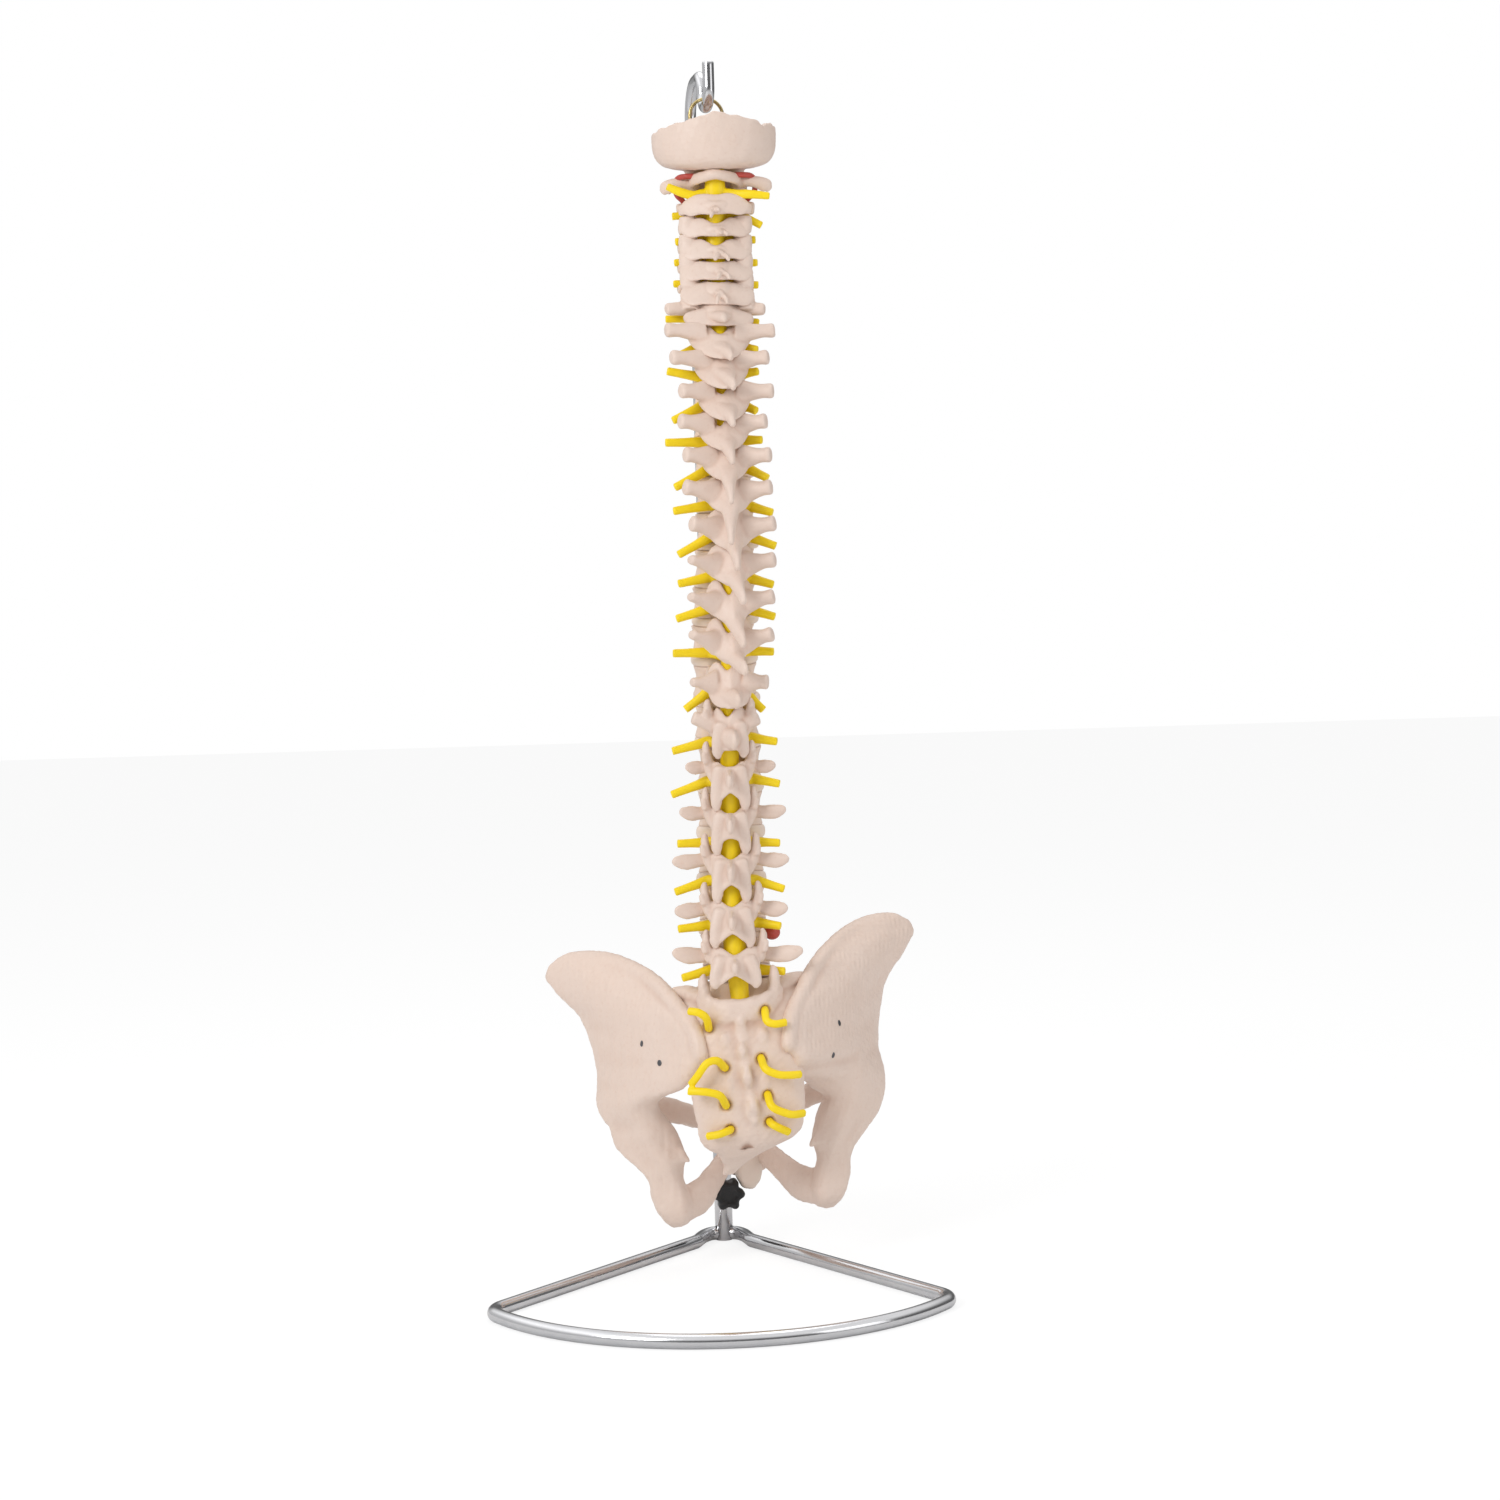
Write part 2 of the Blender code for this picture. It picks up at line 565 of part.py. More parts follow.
def spine_meshes(name):
    """The spinous process, and the two points that it forks into on the neck."""
    length, drop = graded(SPINE_LENGTH, name), graded(SPINE_DROP, name)
    lean, tall = graded(SPINE_LEAN, name), graded(SPINE_HEIGHT, name) / 2
    thick = graded(SPINE_THICKNESS, name) / 2
    root = canal_y(name) - graded(CANAL_DEPTH, name) / 2
    start = -graded(LAMINA_DROP, name)
    back = graded(LAMINA_THICKNESS, name) + length
    stations = [
        ((-MIDLINE_SHIFT, root - thick * 0.60, start - 0.0014), thick * 1.35, tall * 0.96),
        ((lean * 0.35, root - back * 0.45, start - drop * 0.36), thick * 0.80, tall),
        ((lean * 0.85, root - back * 0.86, start - drop * 0.84), thick * 0.86, tall * 0.92),
        ((lean, root - back, start - drop), thick * 0.62, tall * 0.62),
    ]
    meshes = [limb(name + " spine", stations)]
    if name in ("C2", "C3", "C4", "C5", "C6"):
        for side in (-1, 1):
            fork = [
                ((side * 0.0006, root - back * 0.55, start - drop * 0.5), 0.0020, 0.0024),
                ((side * 0.0044, root - back - 0.0022, start - drop - 0.0024), 0.0014, 0.0016),
            ]
            meshes.append(limb(name + " fork", fork, sides=5))
    return meshes


def transverse_meshes(name):
    """The two transverse processes, thinner at the neck and rounded at the tip."""
    reach, rise = SPAN[name] / 2, graded(TIP_RISE, name)
    back, tip = graded(TIP_BACK, name), graded(TIP_RADIUS, name)
    root = graded(CANAL_WIDTH, name) / 2 + graded(LAMINA_THICKNESS, name) * 0.3
    centre = canal_y(name)
    start_y = centre + {"L": 0.006, "T": 0.001, "C": 0.011}[name[0]]
    end_y = centre - back
    wide, neck = {"L": (0.75, 0.80), "T": (0.95, 0.80), "C": (1.15, 1.0)}[name[0]]
    stations = [
        ((root, start_y, 0.0005), tip * wide, tip * 1.02),
        (
            (root * 0.5 + reach * 0.5, start_y * 0.55 + end_y * 0.45, rise * 0.5), tip * wide * neck,
            tip * neck,
        ),
        ((reach - 0.0028, end_y + 0.0008, rise * 0.92), tip * wide, tip),
        ((reach, end_y, rise), tip * wide * 0.55, tip * 0.58),
    ]
    return [limb(name + " right transverse", stations), limb(name + " left transverse", mirrored(stations))]


def pillar_meshes(name):
    """The neck's joint pillars at both sides of the canal, their ends square to the spaces between levels."""
    home = column_frame(rise_of(name)).inverted()
    below = home @ column_frame(gap_below(name))
    above = home @ column_frame(gap_above(name))
    if name == "C2":
        above = Matrix.Translation((0.0, 0.0, 0.0015))
    meshes = []
    for side in (1, -1):
        rings = []
        for place, up, forward, share in (
            (below, JOINT_GAP, -0.0024, 0.46), (Matrix.Identity(4), 0.0, -0.0016, 0.52), (
                above, -JOINT_GAP, -0.0008, 0.46,
            ),
        ):
            ring = []
            for turn in range(6):
                angle = 2 * math.pi * (turn + 0.5) / 6
                x = graded(PILLAR_X, name) + PILLAR_WIDTH * share * math.cos(angle)
                y = canal_y(name) + forward + PILLAR_DEPTH * share * math.sin(angle)
                ring.append(place @ Vector((side * x, y, up)))
            rings.append(ring)
        meshes.append(loft(name + " pillar", rings))
    return meshes


def upper_meshes(name):
    """The upper joint processes of the chest and loin, like a pair of ears."""
    centre, flat = canal_y(name), (0.0, 1.0, 0.0)
    x, top, back = graded(UPPER_X, name), graded(UPPER_TOP, name), graded(UPPER_BACK, name)
    lumbar = name[0] == "L" or name == "T12"
    wide, deep = (0.0033, 0.0040) if lumbar else (0.0030, 0.0022)
    stations = [
        ((x * 0.90, centre - back * 0.3, -0.001), wide * 1.05, deep),
        ((x, centre - back, top * 0.55), wide, deep),
        ((x * 1.01, centre - back, top), wide * 0.66, deep * 0.7),
    ]
    return [
        limb(name + " right ear", stations, flat=flat),
        limb(name + " left ear", mirrored(stations), flat=flat),
    ]


def lower_meshes(name):
    """The lower joint processes of the loin: two lobes that hang between the next level's ears."""
    centre, flat = canal_y(name), (0.0, 1.0, 0.0)
    x, bottom = graded(LOWER_X, name), graded(LOWER_BOTTOM, name)
    plane = centre - graded(CANAL_DEPTH, name) / 2 - graded(LAMINA_THICKNESS, name) * 0.5
    stations = [
        ((x * 0.86, plane, -0.004), 0.0038, 0.0030),
        ((x, plane - 0.0005, -bottom * 0.72), 0.0038, 0.0032),
        ((x * 0.98, plane - 0.0002, -bottom), 0.0026, 0.0022),
    ]
    return [
        limb(name + " right lobe", stations, flat=flat),
        limb(name + " left lobe", mirrored(stations), flat=flat),
    ]


def vertebra(name, owner, forms, bone):
    frame = column_frame(rise_of(name))
    obj = mesh_object("vertebra_" + name, body_mesh(name), owner, bone)
    obj.matrix_world = frame
    meshes = [arch_mesh(name)] + spine_meshes(name) + transverse_meshes(name)
    if name == "C2":
        meshes += axis_meshes()
    if name[0] == "C":
        meshes += pillar_meshes(name)
    else:
        meshes += upper_meshes(name)
    if name[0] == "L" or name in ("T12", "T11"):
        meshes += lower_meshes(name)
    join(obj, meshes, forms, frame)
    lighten(obj, 0.42)
    return obj


def axis_meshes():
    """The axis's tooth and the two shoulders that carry the atlas."""
    tooth = [
        ((0.0, 0.0, 0.0010), 0.0062, 0.0056),
        ((0.0, 0.0004, 0.0080), DENS_RADIUS * 0.92, DENS_RADIUS * 0.90),
        ((0.0, 0.0006, DENS_TOP - 0.004), DENS_RADIUS, DENS_RADIUS * 0.96),
        ((0.0, 0.0000, DENS_TOP), DENS_RADIUS * 0.80, DENS_RADIUS * 0.76),
    ]
    flat = (0.0, 1.0, 0.0)
    top = SPACING["C1"] / 2 - JOINT_GAP
    shoulder = [
        ((MASS_X * 0.85, -0.0050, -0.0040), 0.0058, 0.0052),
        ((MASS_X, -0.0045, top - 0.0030), 0.0058, 0.0064),
        ((MASS_X, -0.0045, top), 0.0054, 0.0058),
    ]
    return [
        limb("C2 tooth", tooth, sides=8, flat=flat),
        limb("C2 right shoulder", shoulder, flat=flat, sheared=True),
        limb("C2 left shoulder", mirrored(shoulder), flat=flat, sheared=True),
    ]


def atlas(owner, forms, bone):
    """The top level: a ring with two side masses and no body."""
    name = "C1"
    frame = column_frame(rise_of(name))
    thick, centre = graded(LAMINA_THICKNESS, name), canal_y(name)
    flat = (0.0, 1.0, 0.0)
    half = [
        ((-MASS_X, -0.0020, 0.0), 0.0030, 0.0034),
        ((-MASS_X * 0.72, ATLAS_FRONT * 0.62, 0.0), 0.0024, 0.0040),
    ]
    front = half + [((0.0, ATLAS_FRONT, 0.0), 0.0024, 0.0052)] + mirrored(half)[::-1]
    obj = mesh_object("vertebra_C1", limb("C1 front arch", front), owner, bone)
    obj.matrix_world = frame
    low = -SPACING["C1"] / 2 + JOINT_GAP
    mass = [
        ((MASS_X, -0.0045, low), 0.0058, 0.0062),
        ((MASS_X * 1.03, -0.0045, 0.0), 0.0062, 0.0078),
        ((MASS_X * 0.98, -0.0045, ATLAS_HALF_HEIGHT), 0.0054, 0.0070),
    ]
    back_y = centre - graded(CANAL_DEPTH, name) / 2 - thick / 2
    half = [
        ((-MASS_X, -0.0080, 0.0), 0.0030, 0.0034),
        ((-MASS_X * 0.98, centre, 0.0), 0.0022, 0.0034),
        ((-MASS_X * 0.56, centre * 0.35 + back_y * 0.65, 0.0), 0.0022, 0.0040),
    ]
    rear = half + [((0.0, back_y, 0.0), 0.0030, 0.0046)] + mirrored(half)[::-1]
    meshes = [
        limb("C1 right mass", mass, flat=flat, sheared=True),
        limb("C1 left mass", mirrored(mass), flat=flat, sheared=True),
        limb("C1 rear arch", rear),
    ]
    join(obj, meshes + transverse_meshes(name), forms, frame)
    lighten(obj, 0.55)
    return obj


def disc(upper, owner, cartilage):
    """The disc below a level, in its own frame: it bulges a little past the plates that it parts."""
    level = NAMES.index(upper)
    lower = NAMES[level - 1] if level else "S1"
    size = lower if level else "L5"
    width = (graded(BODY_WIDTH, size) + graded(BODY_WIDTH, upper)) / 2
    depth = (graded(BODY_DEPTH, size) + graded(BODY_DEPTH, upper)) / 2
    half = disc_below(upper) / 2 - SEAT
    shares = ((-half, 0.96), (0.0, DISC_BULGE), (half, 0.96))
    rings = [kidney(width * share, depth * share, height) for height, share in shares]
    label = "disc_%s_%s" % (upper, lower)
    obj = mesh_object(label, loft(label, rings), owner, cartilage)
    obj.matrix_world = column_frame(gap_below(upper))
    return obj


def pelvis_frame():
    place = Matrix.Translation((PLATE_X, PLATE_Y, PLATE_Z))
    return place @ Matrix.Rotation(PELVIS_YAW, 4, "Z") @ Matrix.Rotation(-PELVIS_ROLL, 4, "Y")


def sacrum_rings(skin):
    """The sacrum's sections: the plate, then ovals down to the tail bone, all larger by the skin."""
    home = pelvis_frame().inverted() @ column_frame(0.0)
    width, depth = BODY_WIDTH["L5"] + 2 * skin, BODY_DEPTH["L5"] + 2 * skin
    rings = [[home @ point for point in kidney(width * 0.98, depth * 0.98, 0.0, SACRUM_SIDES)]]
    for height, forward, aside, half_width, half_depth in SACRUM:
        ring = []
        for turn in range(SACRUM_SIDES):
            angle = 2 * math.pi * (turn + 0.5) / SACRUM_SIDES
            x = aside + (half_width + skin) * math.cos(angle)
            ring.append(Vector((x, forward + (half_depth + skin) * math.sin(angle), height)))
        rings.append(ring)
    return rings


def canal_back(up):
    """How far back the sacrum's canal runs at this height."""
    return smooth([(-place[2], place[1]) for place, _ in SACRAL_CANAL], -up)


def sacrum(owner, forms, bone):
    """The sacrum with its two ears, the knobbed rear crest, the nerve canal and the rear openings."""
    frame = pelvis_frame()
    obj = mesh_object("sacrum", loft("sacrum", sacrum_rings(0.0)), owner, bone)
    obj.matrix_world = frame
    flat = (0.0, 1.0, 0.0)
    ear = [
        ((0.0225, -0.0240, -0.016), 0.0052, 0.0060), ((0.0235, -0.0270, -0.002), 0.0042, 0.0052),
        ((0.0235, -0.0265, 0.0075), 0.0028, 0.0034),
    ]
    crest = [
        ((-0.0010, -0.0330, -0.012), 0.0030, 0.0060), ((-0.0015, -0.0440, -0.030), 0.0034, 0.0058),
        ((-0.0010, -0.0480, -0.044), 0.0024, 0.0040), ((-0.0010, -0.0520, -0.058), 0.0034, 0.0050),
        ((0.0000, -0.0510, -0.072), 0.0024, 0.0036), ((0.0000, -0.0520, -0.086), 0.0036, 0.0040),
    ]
    horn = [((-0.0075, -0.0430, -0.096), 0.0030, 0.0036), ((-0.0130, -0.0340, -0.113), 0.0024, 0.0028)]
    right_horn = [((0.0090, -0.0430, -0.096), 0.0028, 0.0034), ((0.0070, -0.0350, -0.110), 0.0020, 0.0024)]
    meshes = [
        limb("right ear", ear, flat=flat), limb("left ear", mirrored(ear), flat=flat),
        limb("crest", crest, flat=flat), limb("left horn", horn, flat=flat), limb(
            "right horn", right_horn, flat=flat,
        ),
    ]
    join(obj, meshes, forms, frame)
    lighten(obj, 0.75)
    canal = [(place, radius, radius) for place, radius in SACRAL_CANAL]
    cut(obj, "sacral canal", limb("sacral canal", canal, sides=8, flat=flat), forms, frame)
    for number, (aside, back, up) in enumerate(FORAMINA):
        for side in (-1, 1):
            way = [
                ((side * 0.0005, canal_back(up), up), FORAMEN_RADIUS, FORAMEN_RADIUS),
                ((side * aside, back + 0.001, up), FORAMEN_RADIUS, FORAMEN_RADIUS),
                ((side * (aside + 0.006), back - 0.010, up), FORAMEN_RADIUS, FORAMEN_RADIUS),
            ]
            label = "opening %d %s" % (number + 1, "right" if side > 0 else "left")
            cut(obj, label, limb(label, way), forms, frame)
    return obj


def blade_mesh():
    """The hip blade: sections from crest to root, carried from back to front, bowed, thickest at its rims."""
    rings = []
    steps = (0.0, 0.07, 0.30, 0.65, 1.0)
    for index, (crest, root, rim, middle, foot) in enumerate(BLADE):
        crest, root = Vector(crest), Vector(root)
        ahead = Vector(BLADE[min(index + 1, len(BLADE) - 1)][0]) - Vector(BLADE[max(index - 1, 0)][0])
        outward = ahead.cross(root - crest).normalized()
        if outward.y > 0:
            outward.negate()
        outer, inner = [], []
        for step in steps:
            place = crest.lerp(root, step) + outward * BLADE_BOW * math.sin(math.pi * step)
            thick = {0.0: rim * 0.62, 0.07: rim, 0.30: middle, 0.65: (middle + foot) / 2, 1.0: foot}[step]
            outer.append(place + outward * thick / 2)
            inner.append(place - outward * thick / 2)
        rings.append(outer + inner[::-1])
    return loft("blade", rings)


def ball(name, place, radius, around, up):
    mesh = bpy.data.meshes.new(name)
    bm = bmesh.new()
    bmesh.ops.create_uvsphere(
        bm, u_segments=around, v_segments=up, radius=radius, matrix=Matrix.Translation(place),
    )
    bm.to_mesh(mesh)
    bm.free()
    return mesh


def pubic_rings(near, far, overhang):
    """Upright ovals of the pubic body's outline between two distances from the middle."""
    rings = []
    forward, height = PUBIC_PLACE
    for x, share in ((near, 1.0), (far, 1.0)):
        ring = []
        for turn in range(10):
            angle = 2 * math.pi * (turn + 0.5) / 10
            y = forward + (PUBIC_HALF_DEPTH + overhang) * share * math.cos(angle)
            z = height + (PUBIC_HALF_HEIGHT + overhang) * share * math.sin(angle)
            ring.append(Vector((x, y, z)))
        rings.append(ring)
    return rings


def hip(name, owner, forms, bone, mirror):
    frame = pelvis_frame()
    side = Matrix.Scale(-1.0, 4, (1.0, 0.0, 0.0)) if mirror else Matrix.Identity(4)
    meshes = [
        blade_mesh(),
        ball("socket block", SOCKET, SOCKET_BLOCK, 12, 8),
        limb("ischium", ISCHIUM, sides=10, flat=(0.0, 1.0, 0.0)),
        limb("ischial spine", ISCHIAL_SPINE, sides=6),
        limb("lower ramus", LOWER_RAMUS, sides=8),
        limb("upper ramus", UPPER_RAMUS, sides=8),
        loft("pubic body", pubic_rings(PUBIC_HALF_GAP + SEAT, 0.0155, 0.0)),
    ]
    middle = loft("midline clearance", pubic_rings(-0.020, PUBIC_HALF_GAP + SEAT, 0.030))
    cup = ball("socket cup", CUP_PLACE, SOCKET_CUP, 14, 10)
    fit = loft("sacrum clearance", sacrum_rings(SACRUM_SKIN))
    for mesh in meshes + [cup, middle]:
        mesh.transform(side)
        if mirror:
            mesh.flip_normals()
    obj = mesh_object(name, meshes[0], owner, bone)
    obj.matrix_world = frame
    join(obj, meshes[1:], forms, frame)
    lighten(obj, 0.70)
    cut(obj, name + " cup", cup, forms, frame)
    cut(obj, name + " middle", middle, forms, frame)
    cut(obj, name + " sacrum fit", fit, forms, frame)
    return obj


def symphysis(owner, cartilage):
    obj = mesh_object(
        "symphysis_disc", loft("symphysis", pubic_rings(-PUBIC_HALF_GAP, PUBIC_HALF_GAP, SYMPHYSIS_OVERHANG)),
        owner, cartilage,
    )
    obj.matrix_world = pelvis_frame()
    return obj


def circle(centre, radius, height, sides, lobe=0.0, lobes=0):
    ring = []
    for turn in range(sides):
        angle = 2 * math.pi * turn / sides
        reach = radius + lobe * math.cos(lobes * angle)
        ring.append(
            Vector((centre[0] + reach * math.cos(angle), centre[1] + reach * math.sin(angle), height)),
        )
    return ring


def hook_direction():
    return Vector((math.sin(HOOK_TURN), -math.cos(HOOK_TURN), 0.0))


def loop_points(sunk):
    """The hanging wire: two legs and a half circle, square across the hook's dip."""
    radius = LOOP_WIDTH / 2
    across = Vector((math.cos(HOOK_TURN), math.sin(HOOK_TURN), 0.0))
    top = DIP_HEIGHT + ROD_RADIUS + SEAT + WIRE_RADIUS
    centre = hook_direction() * HOOK_REACH + Vector((0.0, 0.0, top - radius))
    bottom = Vector((0.0, 0.0, BOSS_TOP - sunk - centre.z))
    bend = arc(centre, radius, math.pi, 0.0, 10, across, Vector((0.0, 0.0, 1.0)))
    return [bend[0] + bottom] + bend + [bend[-1] + bottom]


def core_points():
    """The flexible core's line: straight from disc to disc, from the sacrum up into the skull."""
    rises = [CORE_BOTTOM] + [gap_below(name) for name in NAMES]
    points = [column_frame(rise).translation for rise in rises]
    last = column_frame(rise_of("C1")).translation
    return points + [Vector((last.x, last.y, CORE_TOP))]


def artery_points(side):
    """From the sixth neck level up through the side openings, round the atlas and in behind it."""
    points = []
    for name, aside, forward, up in (
        ("C6", 0.0175, -0.0040, -0.0070), ("C5", 0.0172, -0.0040, 0.0), ("C4", 0.0170, -0.0040, 0.0),
        ("C3", 0.0170, -0.0040, 0.0), ("C2", 0.0214, -0.0050, -0.0030), ("C2", 0.0216, -0.0052, 0.0045),
        ("C1", 0.0265, -0.0090, -0.0045),
        ("C1", 0.0270, -0.0095, 0.0030), ("C1", 0.0245, -0.0150, 0.0056), ("C1", 0.0190, -0.0190, 0.0058),
        ("C1", 0.0125, -0.0185, 0.0058),
    ):
        points.append(column_frame(rise_of(name)) @ Vector((side * aside, forward, up)))
    return points


def occiput(owner, forms, bone):
    """The back of the skull as a bowl: a round shell with its great opening, and a boss for loop and core."""
    rings = []
    for height, half_width, half_depth in BOWL_OUT + BOWL_IN:
        ring = []
        for turn in range(BOWL_SIDES):
            angle = 2 * math.pi * (turn + 0.5) / BOWL_SIDES
            lift = BOWL_WAVE * math.cos(3 * angle + 0.6) if height == BOWL_OUT[-1][0] else 0.0
            x = BOWL_PLACE[0] + half_width * math.cos(angle)
            ring.append(Vector((x, BOWL_PLACE[1] + half_depth * math.sin(angle), SKULL_BASE + height + lift)))
        rings.append(ring)
    obj = mesh_object("occiput", loft("occiput", rings), owner, bone)
    flat = (0.0, 1.0, 0.0)
    boss = [
        ((*BOSS_PLACE, SKULL_BASE + 0.0020), BOSS_RADIUS * 1.05, BOSS_DEPTH * 1.1),
        ((*BOSS_PLACE, BOSS_TOP - 0.003), BOSS_RADIUS, BOSS_DEPTH),
        ((*BOSS_PLACE, BOSS_TOP), BOSS_RADIUS * 0.92, BOSS_DEPTH * 0.9),
    ]
    atlas_frame = column_frame(rise_of("C1"))
    condyle = []
    for up, share in ((ATLAS_HALF_HEIGHT + 2 * SEAT, 0.86), (ATLAS_HALF_HEIGHT + 0.0022, 1.0), (0.0130, 1.0)):
        condyle.append((atlas_frame @ Vector((MASS_X * 0.96, -0.0045, up)), 0.0052 * share, 0.0078 * share))
    left = [
        (atlas_frame @ Vector((-MASS_X * 0.96, -0.0045, (atlas_frame.inverted() @ place).z)), wide, deep)
        for place, wide, deep in condyle
    ]
    meshes = [
        limb("boss", boss, sides=12, flat=flat),
        limb("right condyle", condyle, sides=8, flat=flat),
        limb("left condyle", left, sides=8, flat=flat),
    ]
    join(obj, meshes, forms)
    opening = atlas_frame @ Vector((0.0, canal_y("C1"), 0.0))
    way = [
        ((opening.x, opening.y, SKULL_BASE - 0.010), *MAGNUM),
        ((opening.x, opening.y - 0.001, SKULL_TOP + 0.012), *MAGNUM),
    ]
    cut(obj, "great opening", limb("great opening", way, sides=12, flat=flat), forms)
    legs = loop_points(LOOP_SINK + SEAT)
    hole = WIRE_RADIUS + RUNNING
    for label, foot in (("left leg hole", legs[0]), ("right leg hole", legs[-1])):
        way = [(foot, hole, hole), (Vector((foot.x, foot.y, BOSS_TOP + 0.010)), hole, hole)]
        cut(obj, label, limb(label, way, sides=8, flat=flat), forms)
    return obj


def cord(owner, forms, nerve):
    """The spinal cord with every nerve root, as one piece."""
    flat = (0.0, 1.0, 0.0)
    frame = pelvis_frame()
    stations = []
    for place, radius in SACRAL_CANAL[:0:-1]:
        stations.append((frame @ Vector(place), radius - 0.0009, radius - 0.0009))
    for name in NAMES:
        place = column_frame(rise_of(name)) @ Vector((0.0, canal_y(name), 0.0))
        stations.append((place, graded(CORD_RADIUS, name) * 1.08, graded(CORD_RADIUS, name)))
    last = stations[-1][0]
    stations.append(
        (
            Vector((last.x, last.y - 0.001, PLATE_Z + rise_of("C1") + 0.018)), CORD_RADIUS["C1"],
            CORD_RADIUS["C1"],
        ),
    )
    stations[0] = (stations[0][0].lerp(stations[1][0], 0.35), stations[0][1], stations[0][2])
    obj = mesh_object("spinal_cord", limb("spinal cord", stations, sides=8, flat=flat), owner, nerve)
    meshes = []
    for name in NAMES:
        for side in (-1, 1):
            meshes.append(nerve_mesh(name, side))
    for (aside, back, up), tips in zip(FORAMINA, REAR_TIPS):
        for side, tip in zip((-1, 1), tips):
            way = [
                ((0.0, canal_back(up), up), NERVE_TIP, NERVE_TIP), (
                    (side * aside, back + 0.001, up), NERVE_TIP, NERVE_TIP,
                ),
                ((side * (aside + 0.004), back - 0.0045, up), NERVE_TIP, NERVE_TIP), (
                    tip, NERVE_TIP * 0.9, NERVE_TIP * 0.9,
                ),
            ]
            meshes.append(
                limb(
                    "rear nerve", [(frame @ Vector(place), wide, tall) for place, wide, tall in way],
                    sides=4,
                ),
            )
    join(obj, meshes, forms)
    lighten(obj, 0.60)
    return obj


def nerve_mesh(name, side):
    """One nerve root, from the cord out between two levels."""
    frame = column_frame(gap_below(name))
    out, up = NERVES[name][0:2] if side < 0 else NERVES[name][2:4]
    level = canal_y(name)
    front = -graded(BODY_DEPTH, name) / 2
    if name == "C1":
        way = [
            ((0.0, level, 0.000), 0.0026, 0.0030), ((side * 0.0145, level - 0.0015, 0.0010), 0.0024, 0.0028),
            ((side * 0.0240, level - 0.0020, up * 0.4), 0.0020, 0.0026), (
                (side * out, level + 0.0010, up), 0.0017, 0.0022,
            ),
        ]
    elif name[0] == "C":
        way = [
            ((0.0, level, 0.0), 0.0018, 0.0018), ((side * 0.0118, front - 0.0026, 0.0), 0.0018, 0.0018),
            ((side * 0.0175, front - 0.0018, 0.0), 0.0018, 0.0018), (
                (side * out, front - 0.0018, up), 0.0018, 0.0018,
            ),
        ]
    else:
        neck = graded(CANAL_WIDTH, name) / 2 + 0.0035
        lift = 0.0010 if name[0] == "T" else 0.0
        way = [
            ((0.0, level, lift), NERVE_ROOT, NERVE_ROOT), (
                (side * neck, front - 0.0012, lift), NERVE_ROOT, NERVE_ROOT,
            ),
            ((side * (neck * 0.4 + out * 0.6), front - 0.0035, up * 0.55), NERVE_TIP, NERVE_TIP),
            ((side * out, front - 0.0050, up), NERVE_TIP * 0.92, NERVE_TIP * 0.92),
        ]
    return limb("nerve " + name, [(frame @ Vector(place), wide, tall) for place, wide, tall in way], sides=4)


def stand_base(owner, forms, chrome):
    """The floor loop, its two ends welded to the sleeve, and the sleeve's nut for the clamp."""
    leg = Vector((math.sin(LEG_SPREAD), -math.cos(LEG_SPREAD)))
    inward = Vector((-math.cos(LEG_SPREAD), -math.sin(LEG_SPREAD)))
    corner = leg * LEG_REACH
    sagitta = FRONT_REACH + corner.y
    front_radius = (corner.x**2 + sagitta**2) / (2 * sagitta)
    centre = Vector((0.0, front_radius - FRONT_REACH))
    # The corner's round touches the leg and the front arc from inside
    offset = inward * CORNER_RADIUS - centre
    half = leg.dot(offset)
    rest = offset.length_squared - (front_radius - CORNER_RADIUS) ** 2
    along = -half + math.sqrt(half**2 - rest)
    round_centre = leg * along + inward * CORNER_RADIUS
    touch_leg = leg * along
    touch_front = centre + (round_centre - centre).normalized() * front_radius
    start = math.atan2(*(touch_leg - round_centre).yx)
    end = math.atan2(*(touch_front - round_centre).yx)
    corner_points = []
    for step in range(7):
        angle = start + (end - start) * step / 6
        corner_points.append(round_centre + Vector((math.cos(angle), math.sin(angle))) * CORNER_RADIUS)
    right = [Vector(point) for point in ((0.0056, -0.0010), (0.0112, -0.0046), (0.0156, -0.0130))]
    right += [leg * 0.034] + corner_points
    edge = math.atan2(*(touch_front - centre).yx)
    front = []
    for step in range(1, 12):
        angle = edge + (-math.pi - 2 * edge) * step / 12
        front.append(centre + Vector((math.cos(angle), math.sin(angle))) * front_radius)
    left = [Vector((-point.x, point.y)) for point in reversed(right)]
    path = [(point.x, point.y, TUBE_RADIUS) for point in right + front + left]
    obj = mesh_object("stand_base", tube("stand_base", path, TUBE_RADIUS, 2), owner, chrome)
    sleeve = loft("sleeve", [circle((0, 0), SLEEVE_RADIUS, height, 20) for height in (0.0, SLEEVE_HEIGHT)])
    boss = loft("nut", [circle((0, 0), NUT_RADIUS, reach, 12) for reach in (0.0050, NUT_REACH)])
    boss.transform(knob_frame())
    join(obj, [sleeve, boss], forms)
    bore = loft(
        "bore",
        [circle((0, 0), ROD_RADIUS + RUNNING, height, 20) for height in (SLEEVE_FLOOR, SLEEVE_HEIGHT + 0.01)],
    )
    cut(obj, "bore", bore, forms)
    way = loft(
        "stud hole",
        [circle((0, 0), STUD_RADIUS + RUNNING, reach, 12) for reach in (0.002, NUT_REACH + 0.01)],
    )
    cut(obj, "stud hole", way, forms, knob_frame())
    return obj


def knob_frame():
    turn = Matrix.Rotation(KNOB_TURN, 4, "Z") @ Matrix.Rotation(math.pi / 2, 4, "X")
    return Matrix.Translation((0.0, 0.0, KNOB_HEIGHT)) @ turn


